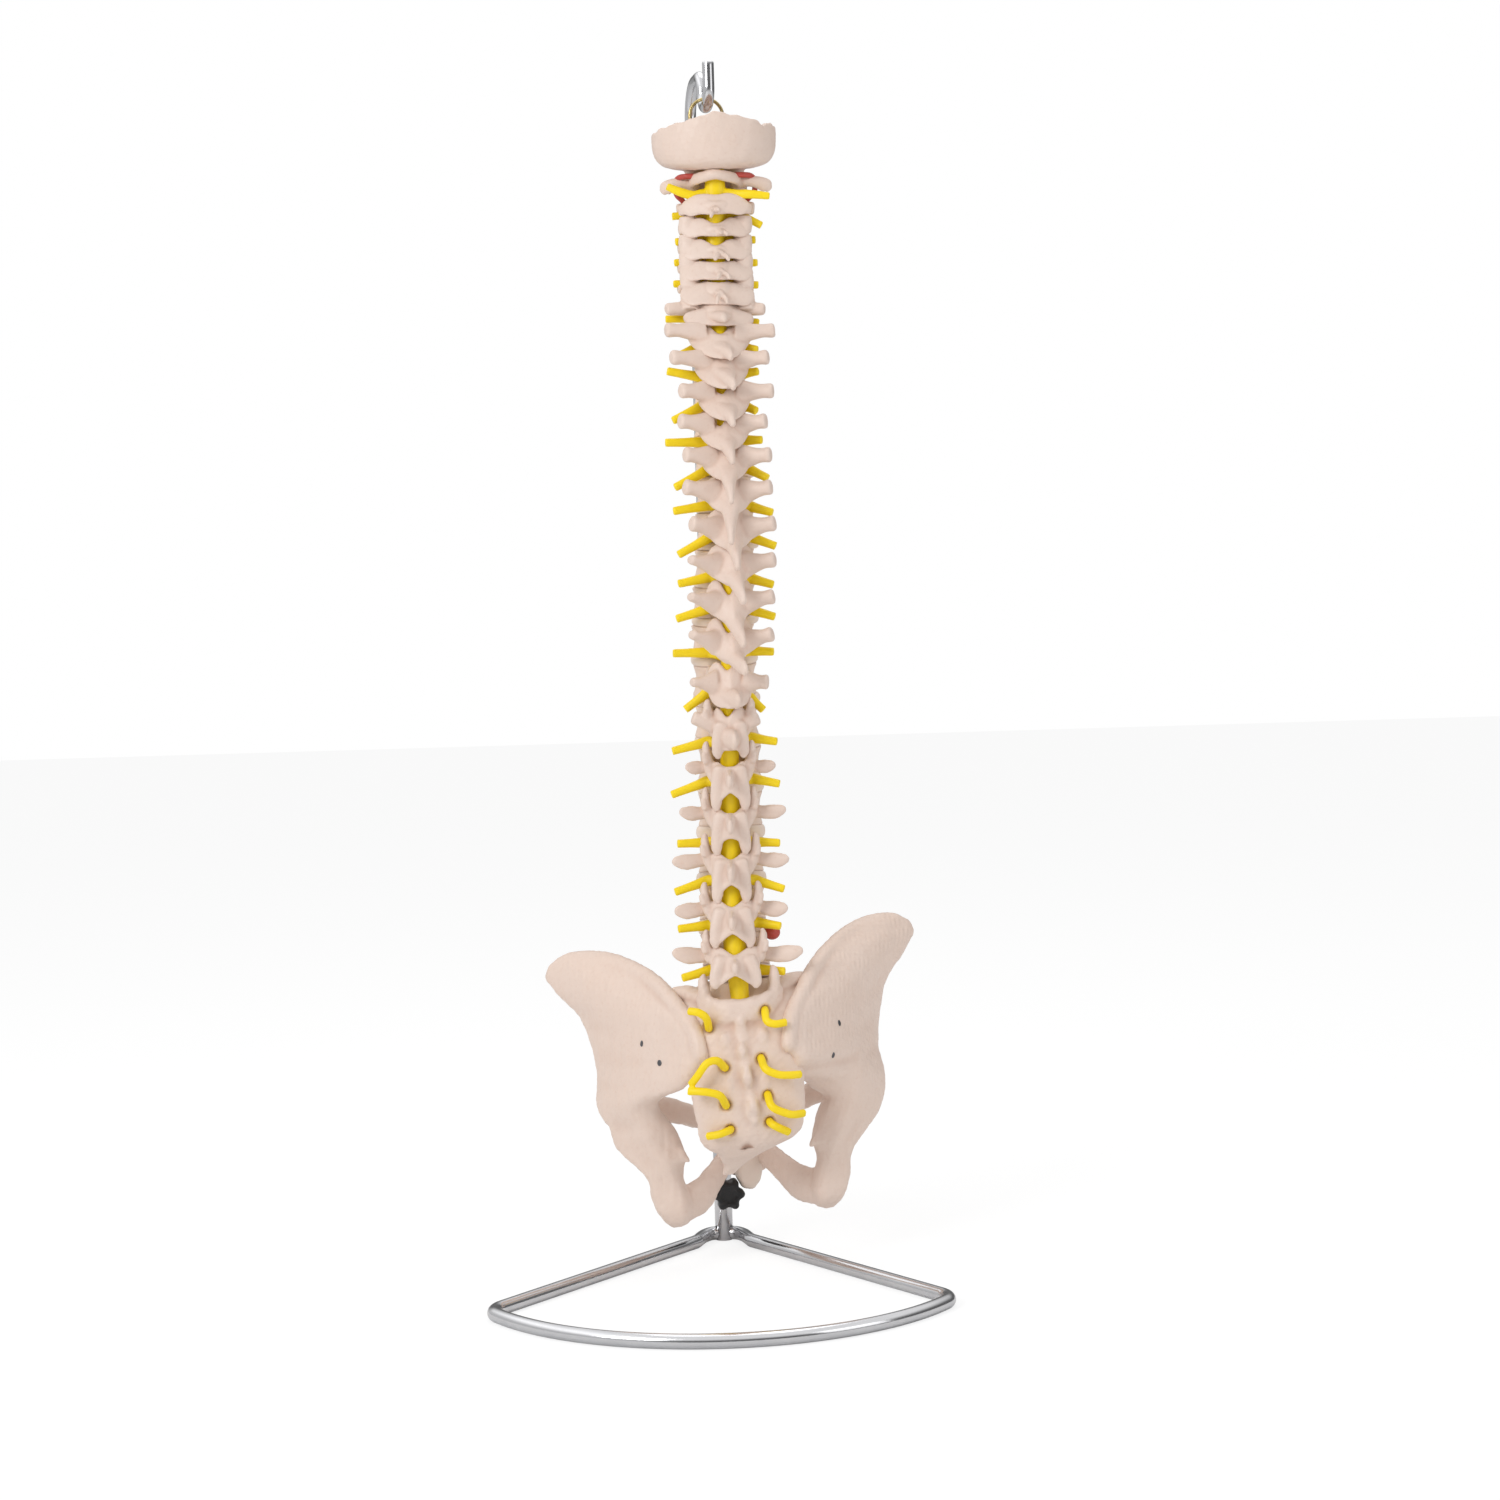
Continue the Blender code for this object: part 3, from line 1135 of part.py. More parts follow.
def clamp_knob(owner, forms, black):
    """The star knob, with its stud up to the mast."""
    end = STAR_START + KNOB_DEPTH
    rings = [
        circle((0, 0), HUB_RADIUS, HUB_START, KNOB_SIDES),
        circle((0, 0), HUB_RADIUS * 1.05, STAR_START, KNOB_SIDES),
    ]
    for height, inset in (
        (STAR_START + 0.0004, 0.0016), (STAR_START + 0.0020, 0.0), (end - 0.0024, 0.0), (end, 0.0020),
    ):
        rings.append(
            circle(
                (0, 0), KNOB_RADIUS - inset, height, KNOB_SIDES, KNOB_LOBE * (1 - inset * 120), KNOB_LOBES,
            ),
        )
    obj = mesh_object("clamp_knob", loft("clamp_knob", rings), owner, black)
    obj.matrix_world = knob_frame()
    stud = loft(
        "stud",
        [circle((0, 0), STUD_RADIUS, reach, 12) for reach in (ROD_RADIUS + 2 * SEAT, HUB_START + 0.003)],
    )
    join(obj, [stud], forms, knob_frame())
    return obj


def mast(owner, chrome):
    """The rod: straight up, over in a bend, down into a dip and up to the tip."""
    out, up = hook_direction(), Vector((0.0, 0.0, 1.0))
    points = [Vector((0.0, 0.0, SLEEVE_FLOOR + SEAT))]
    shoulder = out * BEND_RADIUS + up * (HOOK_TOP - BEND_RADIUS)
    points += arc(shoulder, BEND_RADIUS, math.pi, math.pi / 2, 6, out, up)
    dip = out * HOOK_REACH + up * (DIP_HEIGHT + DIP_RADIUS)
    drop = HOOK_TOP - dip.z
    turn = out * (HOOK_REACH - DIP_RADIUS - drop) + up * dip.z
    points += arc(turn, drop, math.pi / 2, 0.0, 5, out, up)
    points += arc(dip, DIP_RADIUS, math.pi, 2 * math.pi, 10, out, up)[1:]
    points.append(dip + out * DIP_RADIUS + up * (TIP_HEIGHT - dip.z))
    return mesh_object("mast", tube("mast", points, ROD_RADIUS, 3), owner, chrome)


def main():
    clear_scene()
    owner = collection("Spine model")
    forms = collection("Forms")
    forms.hide_render = True
    bone = material("bone", BONE, 0.55)
    cartilage = material("cartilage", (0.84, 0.79, 0.62), 0.40)
    nerve = material("nerve", (0.90, 0.72, 0.03), 0.45)
    blood = material("artery", (0.62, 0.12, 0.10), 0.45)
    chrome = material("chrome", (0.80, 0.81, 0.83), 0.12, metallic=1.0)
    brass = material("brass", (0.72, 0.56, 0.24), 0.30, metallic=1.0)
    steel = material("steel", (0.60, 0.60, 0.60), 0.35, metallic=1.0)
    black = material("black plastic", (0.03, 0.03, 0.03), 0.40)

    stand_base(owner, forms, chrome)
    clamp_knob(owner, forms, black)
    mast(owner, chrome)
    mesh_object("hanging_loop", tube("hanging_loop", loop_points(LOOP_SINK), WIRE_RADIUS, 2), owner, brass)
    threaded = [occiput(owner, forms, bone), atlas(owner, forms, bone)]
    bones = threaded[1:]
    for name in NAMES[:-1]:
        bones.append(vertebra(name, owner, forms, bone))
    discs = [disc(name, owner, cartilage) for name in NAMES[:-1]]
    tail = sacrum(owner, forms, bone)
    hip("hip_left", owner, forms, bone, mirror=True)
    hip("hip_right", owner, forms, bone, mirror=False)
    symphysis(owner, cartilage)
    cord(owner, forms, nerve)
    ball_place = Vector((graded(BODY_WIDTH, "L5") / 2, -graded(BODY_DEPTH, "L5") * PROLAPSE_BACK, -0.0002))
    join(discs[1], [ball("prolapse", ball_place, PROLAPSE_RADIUS, 12, 8)], forms, discs[1].matrix_world)

    core = core_points()
    mesh_object(
        "flexible_core", limb("core", [(p, CORE_RADIUS, CORE_RADIUS) for p in core], flat=(0, 1, 0)), owner,
        steel,
    )
    room = CORE_RADIUS + RUNNING
    way = [
        (p, room, room)
        for p in [core[0] - Vector((0, 0, SEAT))] + core[1:-1] + [core[-1] + Vector((0, 0, SEAT))]
    ]
    channel = limb("core channel", way, flat=(0, 1, 0))
    for piece in [threaded[0], tail] + bones[1:] + discs:
        cut(piece, piece.name + " channel", channel, forms)
    room = ARTERY_RADIUS + RUNNING
    for side, label in ((-1, "artery_left"), (1, "artery_right")):
        points = artery_points(side)
        stations = [(p, ARTERY_RADIUS, ARTERY_RADIUS) for p in points]
        mesh_object(label, limb(label, stations, flat=(0, 1, 0)), owner, blood)
        passage = limb(label + " passage", [(p, room, room) for p in points[:9]], flat=(0, 1, 0))
        for piece in bones:
            if piece.name[-2:] in ("C1", "C2", "C3", "C4", "C5", "C6"):
                cut(piece, piece.name + " passage", passage, forms)


main()
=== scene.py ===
"""Looks of a life-size teaching model of the human spine that hangs from a chromed hook stand.

Each bone is a set of skins, every one a grid of two parameters worked out with numpy. A voxel remesh fuses
them, and the result is rounded and made a little uneven, as a moulded plastic bone is. The nerves are made in
the same way. The stand, hook, wire, arteries and cable are profiles carried along paths. Tables are in
millimetres; the frame and the scene are in metres. In a level's own frame +Y points to the body's front, away
from the viewer, and -Y to its back, which the photograph shows.
"""

import math  # noqa: E402

import bpy  # noqa: E402
import numpy as np  # noqa: E402
from mathutils import Matrix, Vector  # noqa: E402


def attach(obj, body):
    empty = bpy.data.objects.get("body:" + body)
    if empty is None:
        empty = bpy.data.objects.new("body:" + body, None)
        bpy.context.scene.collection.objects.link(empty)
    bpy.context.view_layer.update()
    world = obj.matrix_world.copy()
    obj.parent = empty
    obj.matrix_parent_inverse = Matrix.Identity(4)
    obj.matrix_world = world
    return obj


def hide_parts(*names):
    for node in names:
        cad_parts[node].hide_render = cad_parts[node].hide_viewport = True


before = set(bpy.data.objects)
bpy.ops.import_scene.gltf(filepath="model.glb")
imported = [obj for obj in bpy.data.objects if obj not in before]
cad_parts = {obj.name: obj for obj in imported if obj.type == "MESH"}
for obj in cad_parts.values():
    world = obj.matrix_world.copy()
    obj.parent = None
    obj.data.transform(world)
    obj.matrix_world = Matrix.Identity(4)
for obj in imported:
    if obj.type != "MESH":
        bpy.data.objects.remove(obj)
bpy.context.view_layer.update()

bl_info = {
    "name": "Spine Model Looks",
    "version": (1, 0, 0),
    "blender": (4, 5, 0),
    "location": "View3D > Sidebar > Spine",
    "description": "Bones, nerves, discs, stand and light of a hanging spine model",
    "category": "Object",
}

MM = 0.001
UP = np.array((0.0, 0.0, 1.0))
FORWARD = np.array((0.0, 1.0, 0.0))

LEVELS = ["L%d" % n for n in range(5, 0, -1)]
LEVELS += ["T%d" % n for n in range(12, 0, -1)]
LEVELS += ["C%d" % n for n in range(7, 0, -1)]
SPACING = dict(zip(LEVELS, (
    18.5, 32, 33, 32, 32, 30, 28, 27, 26, 25, 24, 24, 23, 22, 22, 21, 19.5, 16.5, 15, 14.5, 14, 13.5, 14,
    14,
)))
LUMBOSACRAL = 8.5
PLATE = np.array((15.5, -92.0, 201.0))
CURVE = (
    (-20, -4), (0, 0), (48, 11), (97, 16.5), (145, 13), (230, -4), (317, -15), (396, -4), (453, 16),
    (496, 28), (538, 30), (580, 30),
)
SWAY = (
    (-20, 0), (0, 0), (48, -2), (100, -1.5), (177, 0), (259, 3), (310, 5), (375, 2.5), (400, 3), (437, 1),
    (496, 0), (538, 1), (580, 1),
)
# Sizes of the levels in millimetres, graded between the levels that are given
BODY_WIDTH = {
    "L5": 48, "L1": 45, "T12": 45, "T10": 44.5, "T9": 44, "T8": 42, "T6": 39.5, "T4": 36, "T1": 33,
    "C7": 27, "C3": 20, "C1": 19,
}
BODY_ASIDE = {"L1": 0, "T12": -1, "T9": -1.5, "T4": -1.5, "T1": -0.5, "C7": 0}
BODY_DEPTH = {"L5": 33, "L1": 31, "T12": 30, "T8": 27, "T4": 21, "T1": 17, "C7": 16, "C1": 14.5}
DISC = {"L5": 9.5, "L2": 8.5, "T12": 6.5, "T6": 4.5, "C7": 4.5, "C2": 3.6, "C1": 3.6}
CANAL_WIDTH = {"L5": 24, "L1": 21, "T12": 19.5, "T9": 16.5, "T2": 17, "C7": 22, "C3": 22.5, "C1": 27}
CANAL_DEPTH = {"L5": 16, "L1": 16, "T9": 15, "C3": 15, "C1": 19}
LAMINA_THICK = {"L5": 6.4, "T12": 5.6, "T1": 4.6, "C6": 4.0, "C1": 4.4}
LAMINA_TALL = {
    "L5": 17, "L4": 21, "L1": 22, "T12": 22, "T11": 23, "T6": 21, "T2": 18.5, "T1": 16.5, "C7": 14,
    "C6": 13.4, "C3": 11.5, "C1": 8.5,
}
LAMINA_SLANT = {
    "L5": 0.12, "L1": 0.18, "T12": 0.28, "T10": 0.42, "T2": 0.42, "C7": 0.36, "C3": 0.30, "C1": 0.1,
}
LAMINA_DROP = {
    "L5": 6, "L4": 8.5, "L1": 8.5, "T12": 7.5, "T10": 5.5, "T2": 5, "T1": 3.5, "C7": 1.5, "C1": 0,
}
PEDICLE = {"L5": 14, "L1": 15, "T6": 11, "T1": 8.5, "C7": 7, "C1": 6}
SPINE_LONG = {
    "L5": 14, "L4": 19, "L1": 20, "T12": 17, "T9": 20, "T5": 20, "T1": 21, "C7": 18, "C6": 10, "C3": 6,
    "C2": 8,
}
SPINE_TALL = {"L5": 13, "L3": 18, "L1": 16, "T12": 14, "T10": 11, "T1": 9, "C7": 8}
SPINE_THICK = {"L5": 5.4, "T12": 5.4, "T1": 5.6, "C7": 6}
# Each transverse process: reach to the left and right, then height of its left and right tip
TIPS = {
    "L5": (42.5, 46, 2, -0.5), "L4": (39, 38, -2.5, -4), "L3": (40, 39.5, -2, -4),
    "L2": (34.5, 38, 0.5, -1.5), "L1": (30, 31, -0.5, -2.5), "T12": (25, 20, 4, 2),
    "T11": (26.5, 25.5, 0, -2.5), "T10": (28, 27.5, 5.5, 2.5), "T9": (29, 28, 4.5, 1.5),
    "T8": (29, 28.5, 3.5, 1), "T7": (28, 28.5, 2.5, 1), "T6": (31, 27.5, 2, 1), "T5": (29, 29, 0, -0.5),
    "T4": (31, 27.5, 0, 0), "T3": (31, 32, -2.5, -1.5), "T2": (35.5, 30.5, -2, 0.5),
    "T1": (37.5, 37, -2, 0.5), "C7": (35.5, 32, -2, -1), "C6": (26, 26, 0, 0), "C5": (25.5, 25.5, 0, 0),
    "C4": (25, 25, 0, 0), "C3": (24.5, 24.5, 0, 0), "C2": (26.5, 26.5, -1, -1),
}
TWIST = {
    "L1": 0, "T12": 2, "T11": 5, "T10": 9, "T8": 8, "T6": 6, "T4": 6, "T3": 8, "T1": 8, "C7": 6, "C3": 4,
    "C2": 0,
}
# How far below the level's centre its laminae reach, and where the spinous process ends: aside, down
LAMINA_LOW = dict(zip(LEVELS, (
    13.8, 17.8, 17.7, 16.2, 18.8, 20, 19.3, 12.6, 13.2, 13, 14.4, 15.2, 17, 19.4, 22, 23.6, 22.4, 15.3,
    15.6, 12, 10.6, 8.2, 7.5, 5,
)))
SPINE_TIP = {
    "T12": (2.5, 17), "T11": (3.3, 18), "T10": (5.3, 25), "T9": (3.6, 33), "T8": (3.5, 29.7),
    "T7": (0.1, 31), "T6": (-2.4, 39), "T5": (-0.5, 36), "T4": (1.6, 32.3), "T3": (1.1, 30),
    "T2": (3.4, 28.6), "T1": (3, 27.8), "C7": (1, 15.3),
}
TIP_BACK = {"L5": 2, "L1": 3, "T12": 6, "T10": 13, "T2": 12, "T1": 8, "C7": 2, "C6": -9.8, "C2": -9.8}
TIP_ROUND = {"L5": 5, "L1": 4.2, "T12": 4.8, "T1": 5, "C7": 4.6, "C6": 4.2, "C1": 4.6}
EAR_X = {"L5": 19, "L3": 17, "L1": 15.2, "T12": 14.5}
EAR_TOP = {"L5": 17, "L1": 16.5, "T12": 15.5}
EAR_BACK = {"L5": 6, "T12": 5.5}
LOBE_X = {"L5": 13.5, "L4": 11.5, "L3": 9.5, "L1": 9.5, "T12": 8.6}
LOBE_LOW = {"L5": 22, "L4": 27, "L3": 30, "L2": 29, "L1": 31, "T12": 25}
PILLAR_X = 18.5
CORD = {"L5": 7.0, "L3": 6.2, "T12": 5.8, "T6": 4.3, "T1": 4.8, "C6": 5.8, "C1": 6.4}
# Each nerve from its disc's centre: its left tip out and up, its right tip out and up, then the heights of
# its left and right roots
NERVES = {
    "L5": (37, -5.5, 33, -3, 0, -1), "L4": (37.5, -3, 32.5, -3, -0.5, 0.5),
    "L3": (38.5, -9, 36, -9, -1.5, -2), "L2": (36.5, -6, 33.5, -7.5, -6, -6.5),
    "L1": (40, -2, 34, 3.5, 6, 7), "T12": (39, -1.5, 32.5, 3, 3.5, 5.5), "T11": (30, -2, 23, -4, 9, 4),
    "T10": (38, 8.5, 30, 7.5, 7.5, 8), "T9": (36, 4.5, 30.5, 4, 10.5, 9), "T8": (35, 2, 29, -0.5, 5.5, 4),
    "T7": (35.5, -4.5, 30, -0.5, 7, 6), "T6": (38, -1, 28.5, -4, 2.5, 1),
    "T5": (35.5, -10.5, 27, -6, 1.5, 2), "T4": (40, -3.5, 25, -3.5, -3, -2.5),
    "T3": (34.5, -11.5, 22, -6.5, 0, -1), "T2": (37.5, 0, 24, -2, -4, -2),
    "T1": (33.5, -14, 25, -8.5, -3, -4), "C7": (35.5, -1, 27, -5.5, -1, -4), "C6": (28, -8, 25, -9, -6, -7),
    "C5": (29, -6.5, 28, -9, -6, -8), "C4": (28, -5, 28, -6.5, -4, -6), "C3": (27, -3, 27, -3, -2, -3),
    "C2": (29, 1.5, 31, -6.5, 2, 1), "C1": (32.5, 6, 37, -2.5, 0, 0),
}


def graded(sizes, name):
    """A size at one level: straight lines between the levels that are given, as np.interp does."""
    given = sorted((LEVELS.index(key), value) for key, value in sizes.items())
    return float(np.interp(LEVELS.index(name), [g[0] for g in given], [g[1] for g in given]))


def spline(values, at):
    """Catmull-Rom through rows of values, at places counted in rows.

    Between two rows it is a cubic with the slopes (next row - row before) / 2, one-sided at both ends.
    """
    values = np.asarray(values, float)
    slopes = np.gradient(values, axis=0)
    low = np.clip(np.floor(at).astype(int), 0, len(values) - 2)
    t = (np.asarray(at) - low)[:, None]
    first, last = values[low], values[low + 1]
    return (
        first * (2 * t**3 - 3 * t**2 + 1) + slopes[low] * (t**3 - 2 * t**2 + t)
        + last * (3 * t**2 - 2 * t**3) + slopes[low + 1] * (t**3 - t**2)
    )


def smooth(points, at):
    """One value of a cubic Hermite through (position, value) pairs, with the pairs' mean slopes."""
    place = [p[0] for p in points]
    value = [p[1] for p in points]
    sides = [(max(i - 1, 0), min(i + 1, len(place) - 1)) for i in range(len(place))]
    slope = [(value[b] - value[a]) / (place[b] - place[a]) for a, b in sides]
    i = min(max(int(np.searchsorted(place, at)) - 1, 0), len(place) - 2)
    run = place[i + 1] - place[i]
    t = (at - place[i]) / run
    return (
        value[i] * (2 * t**3 - 3 * t**2 + 1) + slope[i] * run * (t**3 - 2 * t**2 + t)
        + value[i + 1] * (3 * t**2 - 2 * t**3) + slope[i + 1] * run * (t**3 - t**2)
    )


def column_frame(rise):
    """The 4 by 4 frame on the column's line at a height above the sacrum's plate, Z along the line, in mm."""
    lean = math.atan((smooth(CURVE, rise + 2) - smooth(CURVE, rise - 2)) / 4)
    made = np.eye(4)
    made[1, 1] = made[2, 2] = math.cos(lean)
    made[1, 2], made[2, 1] = math.sin(lean), -math.sin(lean)
    made[:3, 3] = PLATE + (smooth(SWAY, rise), smooth(CURVE, rise), rise)
    return made


def rise_of(name):
    return sum(SPACING[level] for level in LEVELS[: LEVELS.index(name) + 1])


def gap_above(name):
    if name == "C1":
        return rise_of(name) + SPACING[name] / 2
    return rise_of(name) + SPACING[LEVELS[LEVELS.index(name) + 1]] / 2


def gap_below(name):
    level = LEVELS.index(name)
    return gap_above(LEVELS[level - 1]) if level else LUMBOSACRAL / 2


def disc_below(name):
    level = LEVELS.index(name)
    return graded(DISC, LEVELS[level - 1]) if level else LUMBOSACRAL


def canal_y(name):
    return -graded(BODY_DEPTH, name) / 2 - 0.8 - graded(CANAL_DEPTH, name) / 2


def placed(matrix, points):
    """Points carried into a 4 by 4 frame."""
    points = np.asarray(points, float)
    return points @ matrix[:3, :3].T + matrix[:3, 3]


def unit(vectors):
    return vectors / np.maximum(np.linalg.norm(vectors, axis=-1, keepdims=True), 1e-12)


def round_angles(count, start=0.5):
    """Angles once round a section, from a share of one step."""
    return 2 * np.pi * (np.arange(count) + start) / count


def moved(matrix, skins):
    """Skins carried into a 4 by 4 frame."""
    return [(placed(matrix, points), quads, caps) for points, quads, caps in skins]


def skin(rings):
    """A closed skin over an (n, m, 3) grid: quads between rings, a cap on each end, faces turned outwards."""
    count, around, _ = rings.shape
    points = rings.reshape(-1, 3)
    index = np.arange(count * around).reshape(count, around)
    low, high = index[:-1], index[1:]
    quads = np.stack([low, np.roll(low, -1, 1), np.roll(high, -1, 1), high], -1).reshape(-1, 4)
    centred = points - points.mean(0)
    a, b, c, d = (centred[quads[:, k]] for k in range(4))
    inside_out = (np.cross(b - a, c - a) * a + np.cross(c - a, d - a) * a).sum() < 0
    caps = [index[0][::-1], index[-1]]
    if inside_out:
        quads, caps = quads[:, ::-1], [cap[::-1] for cap in caps]
    return points, quads, caps


def strand(stations, flat=UP, sheared=False, around=18, fine=5, rounded=True):
    """A limb of bone: ovals along a Catmull-Rom path through stations (x, y, z, half thickness, half height).

    A point is path + side * thickness * cos(a) + up * height * sin(a). Rounded ends close as half ellipsoids,
    and others as flat caps.
    """
    stations = np.asarray(stations, float)
    rows = spline(stations, np.linspace(0, len(stations) - 1, (len(stations) - 1) * fine + 1))
    path, wide, tall = rows[:, :3], np.maximum(rows[:, 3], 0.2), np.maximum(rows[:, 4], 0.2)
    ahead = unit(np.gradient(path, axis=0))
    if rounded:
        turn = np.radians((25.0, 50.0, 72.0, 88.0))
        first, last = min(wide[0], tall[0]), min(wide[-1], tall[-1])
        before = path[0] - np.outer(np.sin(turn[::-1]) * first, ahead[0])
        after = path[-1] + np.outer(np.sin(turn) * last, ahead[-1])
        path = np.concatenate([before, path, after])
        ahead = np.concatenate([np.repeat(ahead[:1], 4, 0), ahead, np.repeat(ahead[-1:], 4, 0)])
        wide = np.concatenate([wide[0] * np.cos(turn[::-1]), wide, wide[-1] * np.cos(turn)])
        tall = np.concatenate([tall[0] * np.cos(turn[::-1]), tall, tall[-1] * np.cos(turn)])
    flat = np.asarray(flat, float)
    side = unit(np.cross(flat, ahead))
    up = np.broadcast_to(unit(flat), side.shape) if sheared else np.cross(ahead, side)
    angle = round_angles(around)
    rings = (
        path[:, None] + side[:, None] * (wide[:, None] * np.cos(angle))[..., None]
        + up[:, None] * (tall[:, None] * np.sin(angle))[..., None]
    )
    return skin(rings)


def both(stations, **how):
    """A limb on the right and its mirror on the left."""
    other = np.array(stations, float)
    other[:, 0] *= -1
    return [strand(stations, **how), strand(other, **how)]


def ball_skin(place, radius, across, around):
    """An ellipsoid with a ring at each angle from its top, and small flat caps."""
    turn = round_angles(around, 0.0)
    rings = np.stack([
        np.outer(np.sin(across), np.cos(turn)), np.outer(np.sin(across), np.sin(turn)),
        np.outer(np.cos(across), np.ones(around)),
    ], -1)
    return skin(rings * np.asarray(radius, float) + np.asarray(place, float))


def kidney(width, depth, around=48):
    """A vertebral body's outline: an oval whose back is flatter."""
    angle = round_angles(around)
    x = width / 2 * np.sign(np.cos(angle)) * np.abs(np.cos(angle)) ** 0.92
    y = depth / 2 * np.sin(angle)
    y = np.where(y < 0, y * (0.94 - 0.14 * np.maximum(0, -np.sin(angle)) ** 5), y)
    return np.stack([x, y, np.zeros(around)], 1)


def drum(name, low, high):
    """A body between two plates: its outline times 1 - 0.125 sin(pi u) ^ 0.75, with a lip at each rim."""
    home = np.linalg.inv(column_frame(rise_of(name)))
    outline = kidney(graded(BODY_WIDTH, name), graded(BODY_DEPTH, name))
    steps = np.array((0.0, 0.015, 0.06, 0.13, 0.22, 0.34, 0.5, 0.66, 0.78, 0.87, 0.94, 0.985, 1.0))
    share = 1.0 - 0.125 * np.sin(np.pi * steps) ** 0.75
    share[[0, -1]], share[[1, -2]] = 0.93, 0.985
    aside = np.array((graded(BODY_ASIDE, name), 0.0, 0.0))
    rings = []
    for step, scale in zip(steps, share):
        rings.append(placed(home @ column_frame(low + (high - low) * step), outline * scale + aside))
    return skin(np.array(rings))


class Mesher:
    """Meshes from numpy arrays, and the fusing of several skins into one moulded bone."""

    @staticmethod
    def mesh(name, skins):
        mesh = bpy.data.meshes.new(name)
        points, faces, start = [], [], 0
        for part, quads, caps in skins:
            points.append(part)
            faces += (quads + start).tolist() + [(cap + start).tolist() for cap in caps]
            start += len(part)
        mesh.from_pydata((np.concatenate(points) * MM).tolist(), [], faces)
        mesh.update()
        return mesh

    @staticmethod
    def show(name, mesh, material, body, *nodes, slot=None, sharp=None):
        obj = bpy.data.objects.new(name, mesh)
        bpy.context.scene.collection.objects.link(obj)
        mesh.materials.clear()
        mesh.materials.append(material)
        mesh.shade_smooth()
        if sharp:
            mesh.set_sharp_from_angle(angle=math.radians(sharp))
        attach(obj, body)
        if nodes:
            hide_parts(*nodes)
        return obj

    @staticmethod
    def fused(name, skins, voxel, passes=6, uneven=0.12, dents=(), seed=1):
        """One mesh from overlapping skins: voxel remesh, smoothing, then a field of sines along the normals.

        The field is 2.2 times the mean of 14 sines of random direction and of wavelengths from 3 to 14 mm.
        Each dent (point, axis, radius, depth) moves the points near it along its axis, by
        depth * exp(-(r / radius) ^ 4), and darkens them there as painted shade. How deep each point lies in a
        hollow is stored as the mask of that painted shade.
        """
        source = bpy.data.objects.new(name + "-raw", Mesher.mesh(name + "-raw", skins))
        bpy.context.scene.collection.objects.link(source)
        remesh = source.modifiers.new("Fuse", "REMESH")
        remesh.mode = "VOXEL"
        remesh.voxel_size = voxel * MM
        rounding = source.modifiers.new("Round", "SMOOTH")
        rounding.factor = 0.5
        rounding.iterations = passes
        graph = bpy.context.evaluated_depsgraph_get()
        mesh = bpy.data.meshes.new_from_object(source.evaluated_get(graph))
        bpy.data.objects.remove(source, do_unlink=True)
        mesh.name = name
        count = len(mesh.vertices)
        points, normals = np.empty(count * 3, np.float32), np.empty(count * 3, np.float32)
        mesh.vertices.foreach_get("co", points)
        mesh.vertex_normals.foreach_get("vector", normals)
        points, normals = points.reshape(-1, 3).astype(float) / MM, normals.reshape(-1, 3).astype(float)
        edges = np.empty(len(mesh.edges) * 2, np.int32)
        mesh.edges.foreach_get("vertices", edges)
        # Painted shade: how deep each point lies in a hollow, kept as an attribute that darkens the bone
        # there.
        hollow_shade = Mesher.hollow_shade(points, normals, edges.reshape(-1, 2))
        chance = np.random.default_rng(seed)
        way = unit(chance.normal(size=(14, 3))) * (2 * np.pi / chance.uniform(3.0, 14.0, 14))[:, None]
        field = np.sin(points @ way.T + chance.uniform(0, 2 * np.pi, 14)).mean(1) * 2.2
        points = points + normals * (field * uneven)[:, None]
        for place, axis, radius, depth in dents:
            offset = points - np.asarray(place, float)
            axis = unit(np.asarray(axis, float))
            along = offset @ axis
            reach = np.linalg.norm(offset - along[:, None] * axis, axis=1)
            near = np.exp(-((reach / radius) ** 4)) * (np.abs(along) < depth + 4)
            points = points + axis * (near * depth)[:, None]
            # The dents are darkened as painted shade too.
            hollow_shade = np.maximum(hollow_shade, near)
        mesh.vertices.foreach_set("co", (points * MM).astype(np.float32).ravel())
        attribute = mesh.attributes.new("hollow_shade", "FLOAT", "POINT")
        attribute.data.foreach_set("value", hollow_shade.astype(np.float32))
        mesh.update()
        return mesh

    @staticmethod
    def hollow_shade(points, normals, edges):
        """How far each point lies below its neighbourhood, as a share of 0.9 mm from 0 to 1: the mask of the
        painted shade in hollows.

        The neighbourhood is 24 rounds of averaging over neighbours, and the rise is taken along the normal.
        """
        mean = points.copy()
        degree = np.bincount(edges.ravel(), minlength=len(points)).clip(1)[:, None]
        for _ in range(24):
            total = np.zeros_like(mean)
            for axis in range(3):
                total[:, axis] = np.bincount(edges[:, 0], mean[edges[:, 1], axis], len(points))
                total[:, axis] += np.bincount(edges[:, 1], mean[edges[:, 0], axis], len(points))
            mean = total / degree
        return np.clip(((mean - points) * normals).sum(1) / 0.9, 0, 1)


class Socket:
    """A shader socket on which Python's operators add Math nodes."""

    def __init__(self, tree, socket):
        self.tree, self.socket = tree, socket

    def math(self, operation, *others):
        node = self.tree.nodes.new("ShaderNodeMath")
        node.operation = operation
        for slot, value in zip(node.inputs, others):
            if isinstance(value, Socket):
                self.tree.links.new(value.socket, slot)
            else:
                slot.default_value = value
        return Socket(self.tree, node.outputs[0])

    def __add__(self, other):
        return self.math("ADD", self, other)

    def __radd__(self, other):
        return self.math("ADD", other, self)

    def __sub__(self, other):
        return self.math("SUBTRACT", self, other)

    def __rsub__(self, other):
        return self.math("SUBTRACT", other, self)

    def __mul__(self, other):
        return self.math("MULTIPLY", self, other)

    def __rmul__(self, other):
        return self.math("MULTIPLY", other, self)

    def clamp(self, low, high):
        return self.math("MINIMUM", self.math("MAXIMUM", self, low), high)


